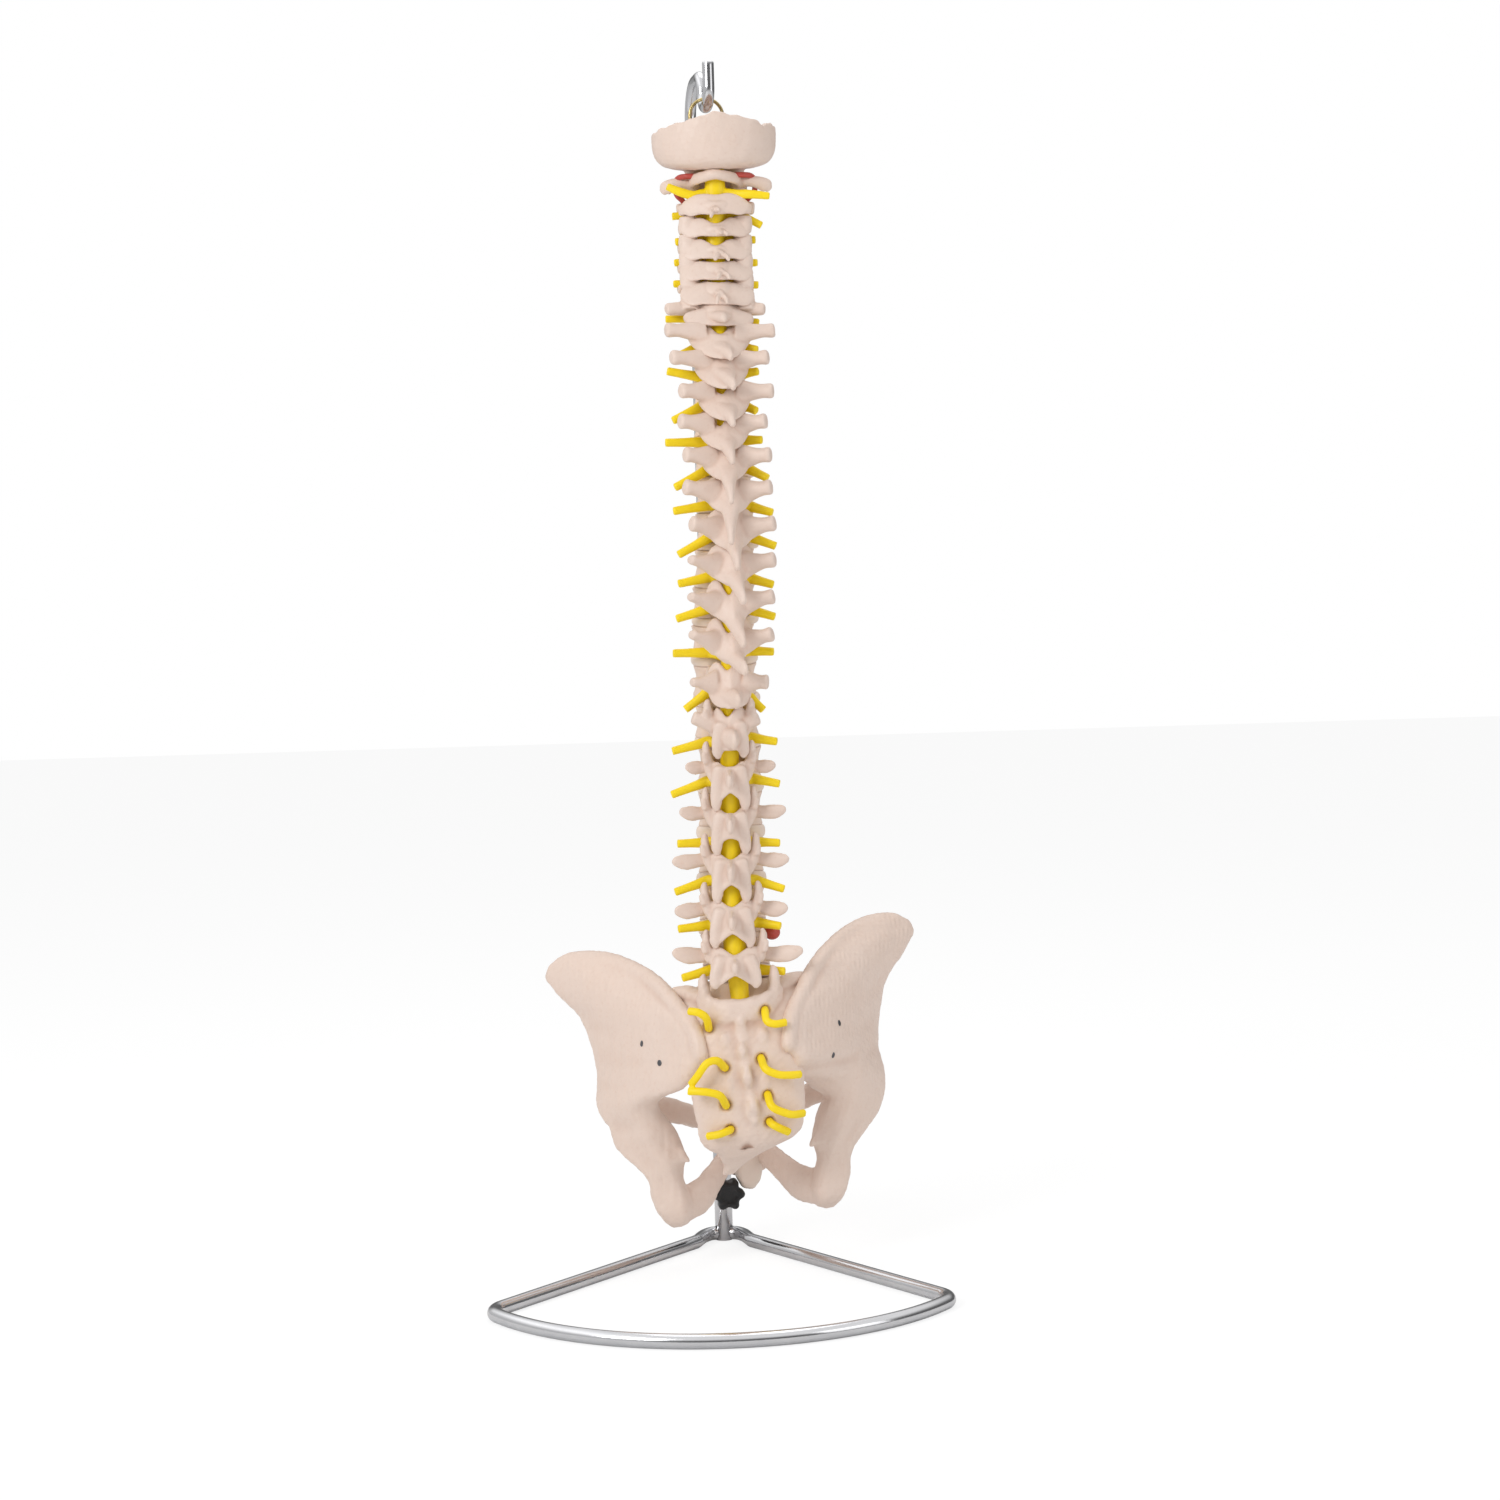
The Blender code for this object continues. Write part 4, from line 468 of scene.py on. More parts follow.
class Finish:
    """A material under construction: a Principled shader and the nodes that feed it."""

    def __init__(self, name, colour, roughness, metallic=0.0, **constants):
        self.material = bpy.data.materials.new(name)
        self.material.use_nodes = True
        self.tree = self.material.node_tree
        self.shader = self.tree.nodes["Principled BSDF"]
        self.shader.inputs["Base Color"].default_value = (*colour, 1.0)
        self.shader.inputs["Roughness"].default_value = roughness
        self.shader.inputs["Metallic"].default_value = metallic
        for key, value in constants.items():
            self.shader.inputs[key.replace("_", " ")].default_value = value

    def node(self, kind, settings=None, out=0, **values):
        """Any node: its type, its settings, then the values or links of its sockets; returns one output."""
        node = self.tree.nodes.new(kind)
        for key, value in (settings or {}).items():
            setattr(node, key, value)
        for key, value in values.items():
            slot = node.inputs[int(key[1:])] if key[1:].isdigit() else node.inputs[key.replace("_", " ")]
            if isinstance(value, Socket):
                self.tree.links.new(value.socket, slot)
            else:
                slot.default_value = value
        return Socket(self.tree, node.outputs[out])

    def place(self):
        return self.node("ShaderNodeTexCoord", out=3)

    def noise(self, scale, detail=2.0, roughness=0.5):
        return self.node(
            "ShaderNodeTexNoise", Vector=self.place(), Scale=scale, Detail=detail, Roughness=roughness,
        )

    def mix(self, share, first, second):
        """A blend of two colours by a value."""
        return self.node("ShaderNodeMix", {"data_type": "RGBA"}, out=2, i0=share, i6=first, i7=second)

    def feed(self, socket, value):
        self.tree.links.new(value.socket, self.shader.inputs[socket])
        return self

    def bump(self, height, strength, distance):
        return self.feed(
            "Normal", self.node("ShaderNodeBump", Strength=strength, Distance=distance, Height=height),
        )


def rgba(colour, gain=1.0):
    return (*(min(1.0, c * gain) for c in colour), 1.0)


def bone_finish(looks):
    """Moulded pinkish plastic: two close tones in clouds, painted shade darkening the hollows, and a fine
    satin grain.
    """
    finish = Finish("moulded bone", looks.bone, 0.5, Specular_IOR_Level=0.42)
    clouds = finish.noise(38.0, 3.0, 0.55)
    specks = finish.noise(420.0, 2.0, 0.6)
    hollow_shade = finish.node("ShaderNodeAttribute", {"attribute_name": "hollow_shade"}, out=2)
    tone = finish.mix(((clouds - 0.5) * 1.6 + 0.5).clamp(0.0, 1.0), rgba(looks.bone), rgba(looks.bone_warm))
    # Painted shade: the colour darkens towards the shade tone in the hollows.
    tone = finish.mix((hollow_shade * 0.75).clamp(0.0, 1.0), tone, rgba(looks.bone_shade_and_speck))
    tone = finish.mix(((specks - 0.56) * 1.4).clamp(0.0, 0.25), tone, rgba(looks.bone_shade_and_speck, 1.1))
    finish.feed("Base Color", tone)
    finish.feed("Roughness", (0.46 + (specks - 0.5) * 0.18 + hollow_shade * 0.2).clamp(0.3, 0.8))
    grain = finish.noise(1500.0, 2.0)
    return finish.bump(grain * 0.35 + specks * 0.65, 0.22, 0.0006).material


def nerve_finish(looks):
    """Painted soft plastic: yellow, a little deeper in clouds, with a satin skin."""
    finish = Finish("yellow nerve", looks.nerve, 0.42, Specular_IOR_Level=0.4)
    clouds = finish.noise(90.0, 2.0)
    share = ((clouds - 0.45) * 1.8).clamp(0.0, 1.0)
    finish.feed("Base Color", finish.mix(share, rgba(looks.nerve), rgba(looks.nerve, 0.86)))
    finish.feed("Roughness", 0.36 + clouds * 0.16)
    return finish.bump(finish.noise(700.0, 2.0), 0.18, 0.0005).material


def vessel_finish(looks):
    finish = Finish("red vessel", looks.vessel, 0.4, Specular_IOR_Level=0.4)
    clouds = finish.noise(120.0, 2.0)
    finish.feed("Base Color", finish.mix(clouds, rgba(looks.vessel, 1.12), rgba(looks.vessel, 0.82)))
    finish.feed("Roughness", 0.34 + clouds * 0.14)
    return finish.bump(finish.noise(600.0, 2.0), 0.15, 0.0005).material


def disc_finish(looks):
    """Soft cream cartilage, with faint rings round it, as laid fibres show."""
    finish = Finish("cream disc", looks.disc, 0.38, Specular_IOR_Level=0.45)
    clouds = finish.noise(70.0, 3.0)
    fibres = finish.node(
        "ShaderNodeTexWave", {"wave_type": "BANDS", "bands_direction": "Z"},
        Vector=finish.place(), Scale=420.0, Distortion=3.0, Detail=2.0, Detail_Scale=1.5,
    )
    finish.feed("Base Color", finish.mix(clouds, rgba(looks.disc, 1.05), rgba(looks.disc, 0.88)))
    finish.feed("Roughness", 0.32 + clouds * 0.16)
    return finish.bump(fibres * 0.5 + clouds * 0.5, 0.18, 0.0006).material


def chrome_finish():
    """Bright plating: almost white, with faint polishing haze and a fine grain in its bump."""
    finish = Finish("bright chrome", (0.60, 0.60, 0.62), 0.15, 1.0)
    haze = finish.noise(55.0, 3.0)
    fine = finish.noise(2400.0, 1.0)
    finish.feed("Base Color", finish.mix(haze, (0.66, 0.66, 0.67, 1.0), (0.56, 0.56, 0.58, 1.0)))
    finish.feed("Roughness", 0.12 + haze * 0.08)
    return finish.bump(fine, 0.04, 0.0002).material


def wire_finish():
    """Drawn brass wire, dulled in patches."""
    finish = Finish("drawn brass", (0.50, 0.38, 0.16), 0.3, 1.0)
    dull = finish.noise(260.0, 3.0)
    finish.feed("Base Color", finish.mix(dull, (0.62, 0.49, 0.22, 1.0), (0.36, 0.27, 0.12, 1.0)))
    finish.feed("Roughness", 0.2 + dull * 0.25)
    return finish.bump(finish.noise(1800.0, 1.0), 0.1, 0.0002).material


def cable_finish():
    finish = Finish("spring cable", (0.52, 0.52, 0.53), 0.3, 1.0)
    turns = finish.node(
        "ShaderNodeTexWave", {"wave_type": "BANDS", "bands_direction": "Z"}, Vector=finish.place(),
        Scale=300.0, Distortion=0.4,
    )
    # Painted shade: the colour darkens in the grooves between the coil's turns, where the bump is low.
    finish.feed("Base Color", finish.mix(turns, (0.30, 0.30, 0.31, 1.0), (0.62, 0.62, 0.63, 1.0)))
    finish.feed("Roughness", 0.25 + turns * 0.15)
    return finish.bump(turns, 0.5, 0.0006).material


def knob_finish():
    """Black moulded plastic with a fine spark texture."""
    finish = Finish("black knob", (0.012, 0.012, 0.013), 0.42, Specular_IOR_Level=0.5)
    spark = finish.noise(1900.0, 2.0, 0.7)
    wear = finish.noise(160.0, 3.0)
    worn = (wear - 0.35).clamp(0.0, 0.5)
    finish.feed("Base Color", finish.mix(worn, (0.010, 0.010, 0.011, 1.0), (0.035, 0.035, 0.038, 1.0)))
    finish.feed("Roughness", 0.36 + wear * 0.2)
    return finish.bump(spark, 0.25, 0.0004).material


def screw_finish():
    finish = Finish("blued screw", (0.10, 0.10, 0.11), 0.35, 1.0)
    worn = finish.noise(900.0, 2.0)
    finish.feed("Base Color", finish.mix(worn, (0.05, 0.05, 0.055, 1.0), (0.22, 0.22, 0.23, 1.0)))
    finish.feed("Roughness", 0.3 + worn * 0.25)
    return finish.bump(worn, 0.2, 0.0003).material


FINISHES = {}


def finish_of(kind):
    """The shared material of one finish, made at its first use."""
    looks = bpy.context.scene.spine_looks
    makers = {
        "bone": lambda: bone_finish(looks), "nerve": lambda: nerve_finish(looks),
        "vessel": lambda: vessel_finish(looks), "disc": lambda: disc_finish(looks), "chrome": chrome_finish,
        "wire": wire_finish, "cable": cable_finish, "knob": knob_finish, "screw": screw_finish,
    }
    if kind not in FINISHES:
        FINISHES[kind] = makers[kind]()
    return FINISHES[kind]


def tone(name, description, default):
    return bpy.props.FloatVectorProperty(
        name=name, description=description, subtype="COLOR", size=3, default=default,
    )


class SpineLooks(bpy.types.PropertyGroup):
    """Colours and finenesses that a user would change."""

    bone: tone("Bone", "Main tone of the moulded bone", (0.775, 0.630, 0.548))
    bone_warm: tone("Bone, warm", "Second tone, in soft clouds", (0.755, 0.595, 0.505))
    # Colour of the painted shade in hollows; a little lighter, it is also the colour of the small random
    # specks.
    bone_shade_and_speck: tone("Bone, deep", "Tone that gathers in hollows", (0.60, 0.41, 0.32))
    nerve: tone("Nerve", "Yellow of the cord and nerves", (0.955, 0.705, 0.006))
    vessel: tone("Vessel", "Red of the arteries and the disc's bulge", (0.50, 0.075, 0.06))
    disc: tone("Disc", "Cream of the discs", (0.84, 0.70, 0.60))
    voxel: bpy.props.FloatProperty(
        name="Bone fineness", description="Voxel of the chest and loin levels", subtype="DISTANCE",
        default=0.00085,
    )
    neck_voxel: bpy.props.FloatProperty(
        name="Neck fineness", description="Voxel of the neck levels", subtype="DISTANCE", default=0.0006,
    )
    wide_voxel: bpy.props.FloatProperty(
        name="Pelvis fineness", description="Voxel of the pelvis and skull base", subtype="DISTANCE",
        default=0.0011,
    )
    key: bpy.props.FloatProperty(
        name="Key light", description="Power of the lamp on the left", subtype="POWER", default=26.0,
    )
    fill: bpy.props.FloatProperty(
        name="Fill light", description="Power of the lamp on the right", subtype="POWER", default=7.0,
    )
    sky: bpy.props.FloatProperty(
        name="Surround", description="Strength of the even light round the object", default=0.62,
    )


def arch_skins(name):
    """Pedicles and laminae: one band swept round the canal, slanted so that it hangs like a shingle."""
    width, depth = graded(CANAL_WIDTH, name), graded(CANAL_DEPTH, name)
    thick, tall = graded(LAMINA_THICK, name), graded(LAMINA_TALL, name)
    pedicle, drop, centre = graded(PEDICLE, name), graded(LAMINA_DROP, name), canal_y(name)
    slant = graded(LAMINA_SLANT, name)
    front = -graded(BODY_DEPTH, name) / 2
    lift = SPACING[name] * 0.12
    side = width / 2 + thick / 2
    cut = graded(NOTCH, name) * {"C": 1.0, "T": 0.7, "L": 0.3}[name[0]]
    rear = centre - depth / 2
    side_tall, middle_tall = max(tall / 2 - cut * 0.5, 2), max(tall * 0.45 - cut * 0.6, 2)
    half = [
        (-min(side, graded(BODY_WIDTH, name) / 2 - 3.5), front * 0.45, lift, thick * 0.5, pedicle * 0.45),
        (-side, front - 2, lift, thick * 0.55, pedicle / 2),
        (-side, centre, -drop * 0.25, thick * 0.6, min(tall * 0.36, pedicle * 0.62)),
        (-width * 0.29, rear - thick * 0.25, -drop - cut * 0.5, thick * 0.52, side_tall),
    ]
    mirror = [(-x, y, z, w, h) for x, y, z, w, h in half]
    middle = [(0, rear - thick * 0.75, -drop - cut * 0.6, thick * 0.56, middle_tall)]
    flat = (0, math.sin(slant), math.cos(slant))
    return [strand(half + middle + mirror[::-1], flat=flat, sheared=True, around=20)]


# The laminae seen from behind: half width, and how far the top edge is notched at the middle
SHIELD = {
    "L5": 17, "L4": 14.5, "L1": 12.5, "T12": 11.2, "T11": 15.2, "T10": 16, "T5": 17, "T4": 17.6, "T2": 18.6,
    "T1": 21.5, "C7": 24, "C6": 25.5, "C3": 24.5, "C2": 24,
}
NOTCH = {
    "L5": 5, "L1": 5, "T12": 7, "T11": 8, "T10": 13, "T9": 13, "T8": 2, "T5": 1, "T4": 9, "T3": 9, "T2": 1,
    "T1": 9.5, "C7": 2.5, "C5": 3, "C4": 5, "C3": 4.5, "C2": 2,
}
# How far to the left the notch stands, and its width, where a chest level has its own
NOTCH_PLACE = {"T1": (0.5, 6.5), "T3": (4.0, 3.8), "T4": (4.0, 3.8)}
# How far each gap between the loin's laminae stands open
GAPE = {"L5": 11.0, "L4": 12.0, "L3": 13.5, "L2": 12.0, "L1": 9.0, "T12": 0.5}


def shield_skins(name):
    """The laminae as one plate across the back.

    For s from -1 to 1 a section is a rounded oblong, |cos| ^ 0.6 thick by |sin| ^ 0.75 tall, between a top
    and a bottom edge. The plate curls forward by curl * |s| ^ power, and leans so that its lower edge stands
    behind the next plate's upper edge. A ridge grows down its middle, by
    ridge * fall ^ 1.2 * (1 - |s|) ^ 1.3, as a tent's does: tall in the chest, slight elsewhere.
    """
    half, kind = graded(SHIELD, name), name[0]
    low = LAMINA_LOW[name]
    upper = LEVELS[LEVELS.index(name) + 1]
    top = SPACING[upper] - LAMINA_LOW[upper]
    thick = graded(LAMINA_THICK, name) * 0.5
    rear = canal_y(name) - graded(CANAL_DEPTH, name) / 2 - thick * 0.8
    s = np.sin(np.linspace(-np.pi / 2, np.pi / 2, 41)) * 0.995
    a = np.abs(s)
    aside, wide = NOTCH_PLACE.get(name, (1.5, 4.2) if kind == "T" else (0.0, 7.0))
    notch = graded(NOTCH, name) * np.exp(-(((s * half + aside) / wide) ** 2))
    if kind == "C":
        lobe = np.exp(-(((a - 0.74) / 0.2) ** 2)) - 0.55 * np.exp(-(((a - 0.4) / 0.16) ** 2))
        top, bottom = top - 1.0 - 1.0 * lobe, -(low + 1.0 * lobe)
        if name == "C2":
            top = 8.5 - 4.5 * a**2
        curl, power, slant, ridge = 6.0, 1.7, 0.22, 1.2
    elif kind == "T" and name != "T12":
        corner = -1.5 * a**2 if name == "T11" else 2.0 - (low * (0.46 + 0.1 * s) + 1.5) * a**1.9
        top, bottom = top + 4.5 - 3 * a**2, -(low + corner)
        curl, power, slant, ridge = 8.0, 1.15, 0.30, 6.5
        if name == "T11":
            top, ridge = top - 4.0, 4.5
    else:
        top = top - GAPE[name] + 4.5 * a**2 + 2.0
        hang = np.minimum(a / 0.6, 1.0) ** 1.3 * (0.0 if name == "T12" else 7.0)
        bottom = -(low + hang - 4.0 * np.clip(a - 0.7, 0, 1) / 0.3)
        curl, power, slant, ridge = 4.5, 1.6, 0.14, 1.6
    top = top - notch
    middle, height = (top + bottom) / 2, (top - bottom) / 2 * np.sqrt(np.clip(1 - a**5, 0.02, 1))
    angle = round_angles(32)
    c, t = np.cos(angle), np.sin(angle)
    z = middle[:, None] + height[:, None] * (np.sign(t) * np.abs(t) ** 0.75)
    fall = np.clip((top[:, None] - z) / (top - bottom)[:, None], 0, 1)
    y = rear + curl * (a**power)[:, None] + slant * (z + low * 0.3)
    y = y - ridge * fall**1.2 * (np.clip(1 - a, 0, 1) ** 1.3)[:, None]
    y = y + thick * np.sqrt(np.clip(1 - a**7, 0.03, 1))[:, None] * np.sign(c) * np.abs(c) ** 0.6
    x = np.broadcast_to(half * s[:, None], y.shape)
    return [skin(np.stack([x, y, z], -1))]


# The two tips of each forked process of the neck: aside, up
FORKS = {
    "C2": ((-2.8, -11.0), (2.2, -6.8)), "C3": ((2.2, -8.0), (6.6, -9.0)),
    "C4": ((-1.8, -12.8), (7.2, -13.4)), "C5": ((-0.6, -13.4), (7.0, -13.2)),
    "C6": ((-2.2, -17.2), (4.6, -16.6)),
}


def keel_skins(name):
    """The spinous process: a roof that narrows from both laminae to a ridge, then to its tip or its fork."""
    long, tall, thick = graded(SPINE_LONG, name), graded(SPINE_TALL, name) / 2, graded(SPINE_THICK, name) / 2
    root, low = canal_y(name) - graded(CANAL_DEPTH, name) / 2, LAMINA_LOW[name]
    back = graded(LAMINA_THICK, name) + long
    if name[0] == "L":
        start = -low * 0.42
        return [strand([
            (0, root - 1.5, start, thick * 1.9, tall * 0.75),
            (0, root - back * 0.3, start - 0.5, thick * 1.15, tall * 0.72),
            (0, root - back * 0.62, start - 1.2, thick * 0.8, tall * 0.7),
            (0, root - back * 0.92, start - 1.8, thick * 0.85, tall * 0.66),
            (0, root - back + 0.6, start - 2, thick * 0.6, tall * 0.5),
        ], around=20)]
    if name in FORKS:
        fork = FORKS[name]
        middle = (fork[0][0] + fork[1][0]) / 2
        start = -low * 0.35 - graded(NOTCH, name) * 0.3
        skins = [strand([
            (middle * 0.2, root + 0.5, start, 5.0, 2.8),
            (middle * 0.5, root - back * 0.35, start - 0.8, 3.4, 2.8),
            (middle * 0.85, root - back * 0.7, start - 2.0, 2.4, 2.4),
        ], around=20)]
        for x, z in fork:
            skins.append(strand([
                (middle * 0.8, root - back * 0.55, start - 1.8, 1.8, 2.0),
                (middle * 0.3 + x * 0.7, root - back * 1.0, start * 0.45 + z * 0.55, 1.6, 1.8),
                (x, root - back - 1.6, z + 0.9, 1.2, 1.3),
            ], around=14))
        return skins
    aside, down = SPINE_TIP[name]
    start = -low * 0.42 - graded(NOTCH, name) * 0.35
    end = -down + tall * 0.62
    rows = [
        (0, root + 0.5, start + 2, thick * 3.4, tall * 0.9),
        (aside * 0.25, root - back * 0.25, start * 0.78 + end * 0.22, thick * 2.4, tall),
        (aside * 0.5, root - back * 0.5, start * 0.52 + end * 0.48, thick * 1.6, tall * 1.02),
        (aside * 0.85, root - back * 0.84, start * 0.2 + end * 0.8, thick * 0.95, tall * 0.92),
        (aside, root - back + 0.8, end, thick * 0.72, tall * 0.66),
    ]
    return [strand(rows, around=20)]


def wing_skins(name):
    """The transverse processes: clubs in the chest, leaves in the loin, each of its own reach and height."""
    back, tip = graded(TIP_BACK, name), graded(TIP_ROUND, name)
    root = graded(CANAL_WIDTH, name) / 2 + graded(LAMINA_THICK, name) * 0.3
    centre = canal_y(name)
    start_y = centre + {"L": 6, "T": -4.5, "C": 11}[name[0]]
    if name == "C7":
        start_y = centre + 4
    end_y = centre - back
    shape = {
        "L": ((1.15, 0.6), (1.05, 0.55), (1.2, 0.5), (0.72, 0.4), (0.25, 0.25)),
        "T": ((1.95, 1.25), (1.35, 1.1), (1.0, 1.0), (1.1, 1.0), (0.78, 0.7)),
        "C": ((1.1, 1.1), (1.02, 1.05), (1.0, 1.0), (0.95, 0.95), (0.7, 0.7)),
    }[name[0]]
    if name in ("C7", "T12"):
        shape = ((1.4, 1.0), (1.15, 1.0), (1.05, 1.0), (0.95, 0.9), (0.6, 0.6))
    left, right, left_up, right_up = TIPS[name]
    skins = []
    for side, reach, rise in ((-1, left, left_up), (1, right, right_up)):
        rows = []
        for share, (tall, wide) in zip((0.0, 0.36, 0.68, 0.93, 1.0), shape):
            if side < 0 and name in ("T8", "T9", "T10", "T11"):
                tall = tall * (1 - 0.45 * share**2)
            x = root - 1 + (reach - root + 1) * share
            lift = rise * share - (2.2 if name[0] == "T" else 0) * (1 - share)
            if name[0] == "L":
                sag = 1.8 * math.sin(math.pi * share)
                lift = rise * share**1.5 - sag + (2.6 if side > 0 else 0.8) * share**3
            y = start_y + (end_y - start_y) * share
            rows.append((side * x, y, lift + 0.5 * (1 - share), tip * wide, tip * tall))
        skins.append(strand(rows, around=22, rounded=False))
    return skins


def ear_skins(name):
    """The loin's upper joint processes: a pair of ears, each with a small knob behind it."""
    centre = canal_y(name)
    x, top, back = graded(EAR_X, name), graded(EAR_TOP, name), graded(EAR_BACK, name)
    wide, deep = 3.1, 4.4
    rows = [
        (x * 0.88, centre - back * 0.3, -2, wide * 1.3, deep * 1.05),
        (x * 0.97, centre - back * 0.8, top * 0.35, wide * 1.05, deep),
        (x * 1.02, centre - back, top * 0.75, wide * 0.9, deep * 0.95),
        (x, centre - back * 0.95, top - 1.2, wide * 0.6, deep * 0.62),
    ]
    knob = [
        (x * 1.06, centre - back - 2.2, top * 0.2, 2.4, 2.4),
        (x * 1.12, centre - back - 3.4, top * 0.48, 2.0, 2.0),
    ]
    return both(rows, flat=FORWARD, around=16) + both(knob, flat=FORWARD, around=12)


def lobe_skins(name):
    """The lower joint processes of the loin: two lobes that hang between the next level's ears."""
    x, low = graded(LOBE_X, name), graded(LOBE_LOW, name)
    plane = canal_y(name) - graded(CANAL_DEPTH, name) / 2 - graded(LAMINA_THICK, name) * 0.5
    return both([
        (x * 0.7, plane, -3, 5.0, 3.4), (x * 0.92, plane - 0.4, -low * 0.5, 4.6, 3.4),
        (x * 1.03, plane - 0.3, -low * 0.82, 3.9, 3.1), (x * 1.0, plane, -low + 1.4, 2.5, 2.2),
    ], flat=FORWARD, around=18)


def pillar_skins(name):
    """The neck's joint pillars, stacked with their ends square to the spaces between levels."""
    home = np.linalg.inv(column_frame(rise_of(name)))
    low, high = home @ column_frame(gap_below(name)), home @ column_frame(gap_above(name))
    if name == "C2":
        high = np.eye(4)
        high[2, 3] = 1.5
    angle = round_angles(24)
    skins = []
    for side in (1, -1):
        rings = []
        for place, up, forward, share in (
            (low, 0.35, -2.4, 0.40), (low, 0.8, -2.3, 0.47), (low, 2.6, -2.0, 0.50),
            (np.eye(4), 0, -1.6, 0.53), (high, -2.6, -1.2, 0.50), (high, -0.8, -0.9, 0.47),
            (high, -0.35, -0.8, 0.40),
        ):
            x = side * (PILLAR_X + 12.9 * share * np.cos(angle))
            y = canal_y(name) + forward + 10.2 * share * np.sin(angle)
            rings.append(placed(place, np.stack([x, y, np.full(24, up)], 1)))
        skins.append(skin(np.array(rings)))
    return skins


def axis_skins():
    """The second level's tooth and the two shoulders that carry the ring above it."""
    top = SPACING["C1"] / 2 - 0.5
    tooth = [(0, 0, 1, 6.2, 5.6), (0, 0.4, 8, 4.6, 4.5), (0, 0.6, 15.5, 5.0, 4.8), (0, 0, 18.4, 3.4, 3.2)]
    shoulder = [
        (12.9, -5, -4, 5.8, 5.2), (15.2, -4.5, top - 4, 6.2, 6.4), (15.2, -4.5, top - 0.6, 5.4, 5.8),
    ]
    return [strand(tooth, flat=FORWARD)] + both(shoulder, flat=FORWARD, sheared=True, rounded=False)


def atlas_skins():
    """The top level: a ring with two side masses, its rear arch low and ridged."""
    centre = canal_y("C1")
    rear = centre - graded(CANAL_DEPTH, "C1") / 2 - 2.2
    front = [
        (-15.2, -2, 1, 3.0, 5.4), (-10.9, 6.2, 1.5, 2.4, 6.5), (0, 10, 1, 2.4, 6.0),
        (10.9, 6.2, 1.5, 2.4, 6.5), (15.2, -2, 1, 3.0, 5.4),
    ]
    back = [
        (-15.2, -8, 1, 3.0, 3.8), (-14.9, centre, 3, 2.4, 4.0),
        (-8.5, centre * 0.35 + rear * 0.65, 4.0, 2.4, 3.8), (0, rear, 5.0, 3.0, 3.6),
        (8.5, centre * 0.35 + rear * 0.65, 4.0, 2.4, 3.8), (14.9, centre, 3, 2.4, 4.0),
        (15.2, -8, 1, 3.0, 3.8),
    ]
    wings = []
    for side, reach in ((-1, 35.5), (1, 36.5)):
        wings.append(strand([
            (side * 14, -11, 1.5, 3.6, 4.6), (side * 22, -13, 2.2, 3.2, 3.6),
            (side * 29, -13.5, 1.4, 3.0, 4.2), (side * reach * 0.95, -12.5, -1.0, 2.7, 5.0),
            (side * reach, -12, -2.6, 1.8, 3.2),
        ], around=22))
    mass = [(15.2, -4.5, -5.9, 5.4, 5.8), (15.7, -4.5, 0, 6.2, 7.8), (14.9, -4.5, 5.8, 5.2, 6.8)]
    return [strand(front), strand(back)] + both(mass, flat=FORWARD, sheared=True, rounded=False) + wings


def vertebra_skins(name):
    if name == "C1":
        return atlas_skins()
    low = gap_below(name) + disc_below(name) / 2
    high = rise_of(name) + 5 if name == "C2" else gap_above(name) - graded(DISC, name) / 2
    skins = [drum(name, low, high)]
    slope = 0.9 * column_frame(rise_of(name))[1, 2]
    rear = arch_skins(name) + shield_skins(name) + keel_skins(name) + wing_skins(name)
    if name[0] == "L" or name == "T12":
        rear += lobe_skins(name) + ear_skins(name)
    skins += [(points + points[:, 1:2] * (0, 0, slope), quads, caps) for points, quads, caps in rear]
    if name == "C2":
        skins += axis_skins()
    if name[0] == "C":
        skins += pillar_skins(name)
    return skins


def twisted(skins, name):
    """Skins turned about the canal's line, as the column of a hanging model turns a little on its cable."""
    turn, centre = math.radians(graded(TWIST, name)), canal_y(name)
    made = []
    for points, quads, caps in skins:
        x, y = points[:, 0], points[:, 1] - centre
        aside = x * math.cos(turn) - y * math.sin(turn)
        along = x * math.sin(turn) + y * math.cos(turn) + centre
        made.append((np.stack([aside, along, points[:, 2]], 1), quads, caps))
    return made


class SPINE_OT_vertebrae(bpy.types.Operator):
    """Each level of the column: body, arch, processes and joint faces, fused into one bone"""

    bl_idname = "spine.vertebrae"
    bl_label = "Vertebrae"

    def execute(self, context):
        looks = context.scene.spine_looks
        for number, name in enumerate(LEVELS):
            matrix = column_frame(rise_of(name))
            skins = moved(matrix, twisted(vertebra_skins(name), name))
            voxel = (looks.neck_voxel if name[0] == "C" else looks.voxel) / MM
            mesh = Mesher.fused("bone-" + name, skins, voxel, passes=5, uneven=0.13, seed=number + 3)
            Mesher.show("bone-" + name, mesh, finish_of("bone"), "mast", "vertebra_" + name, slot="bone")
        return {"FINISHED"}


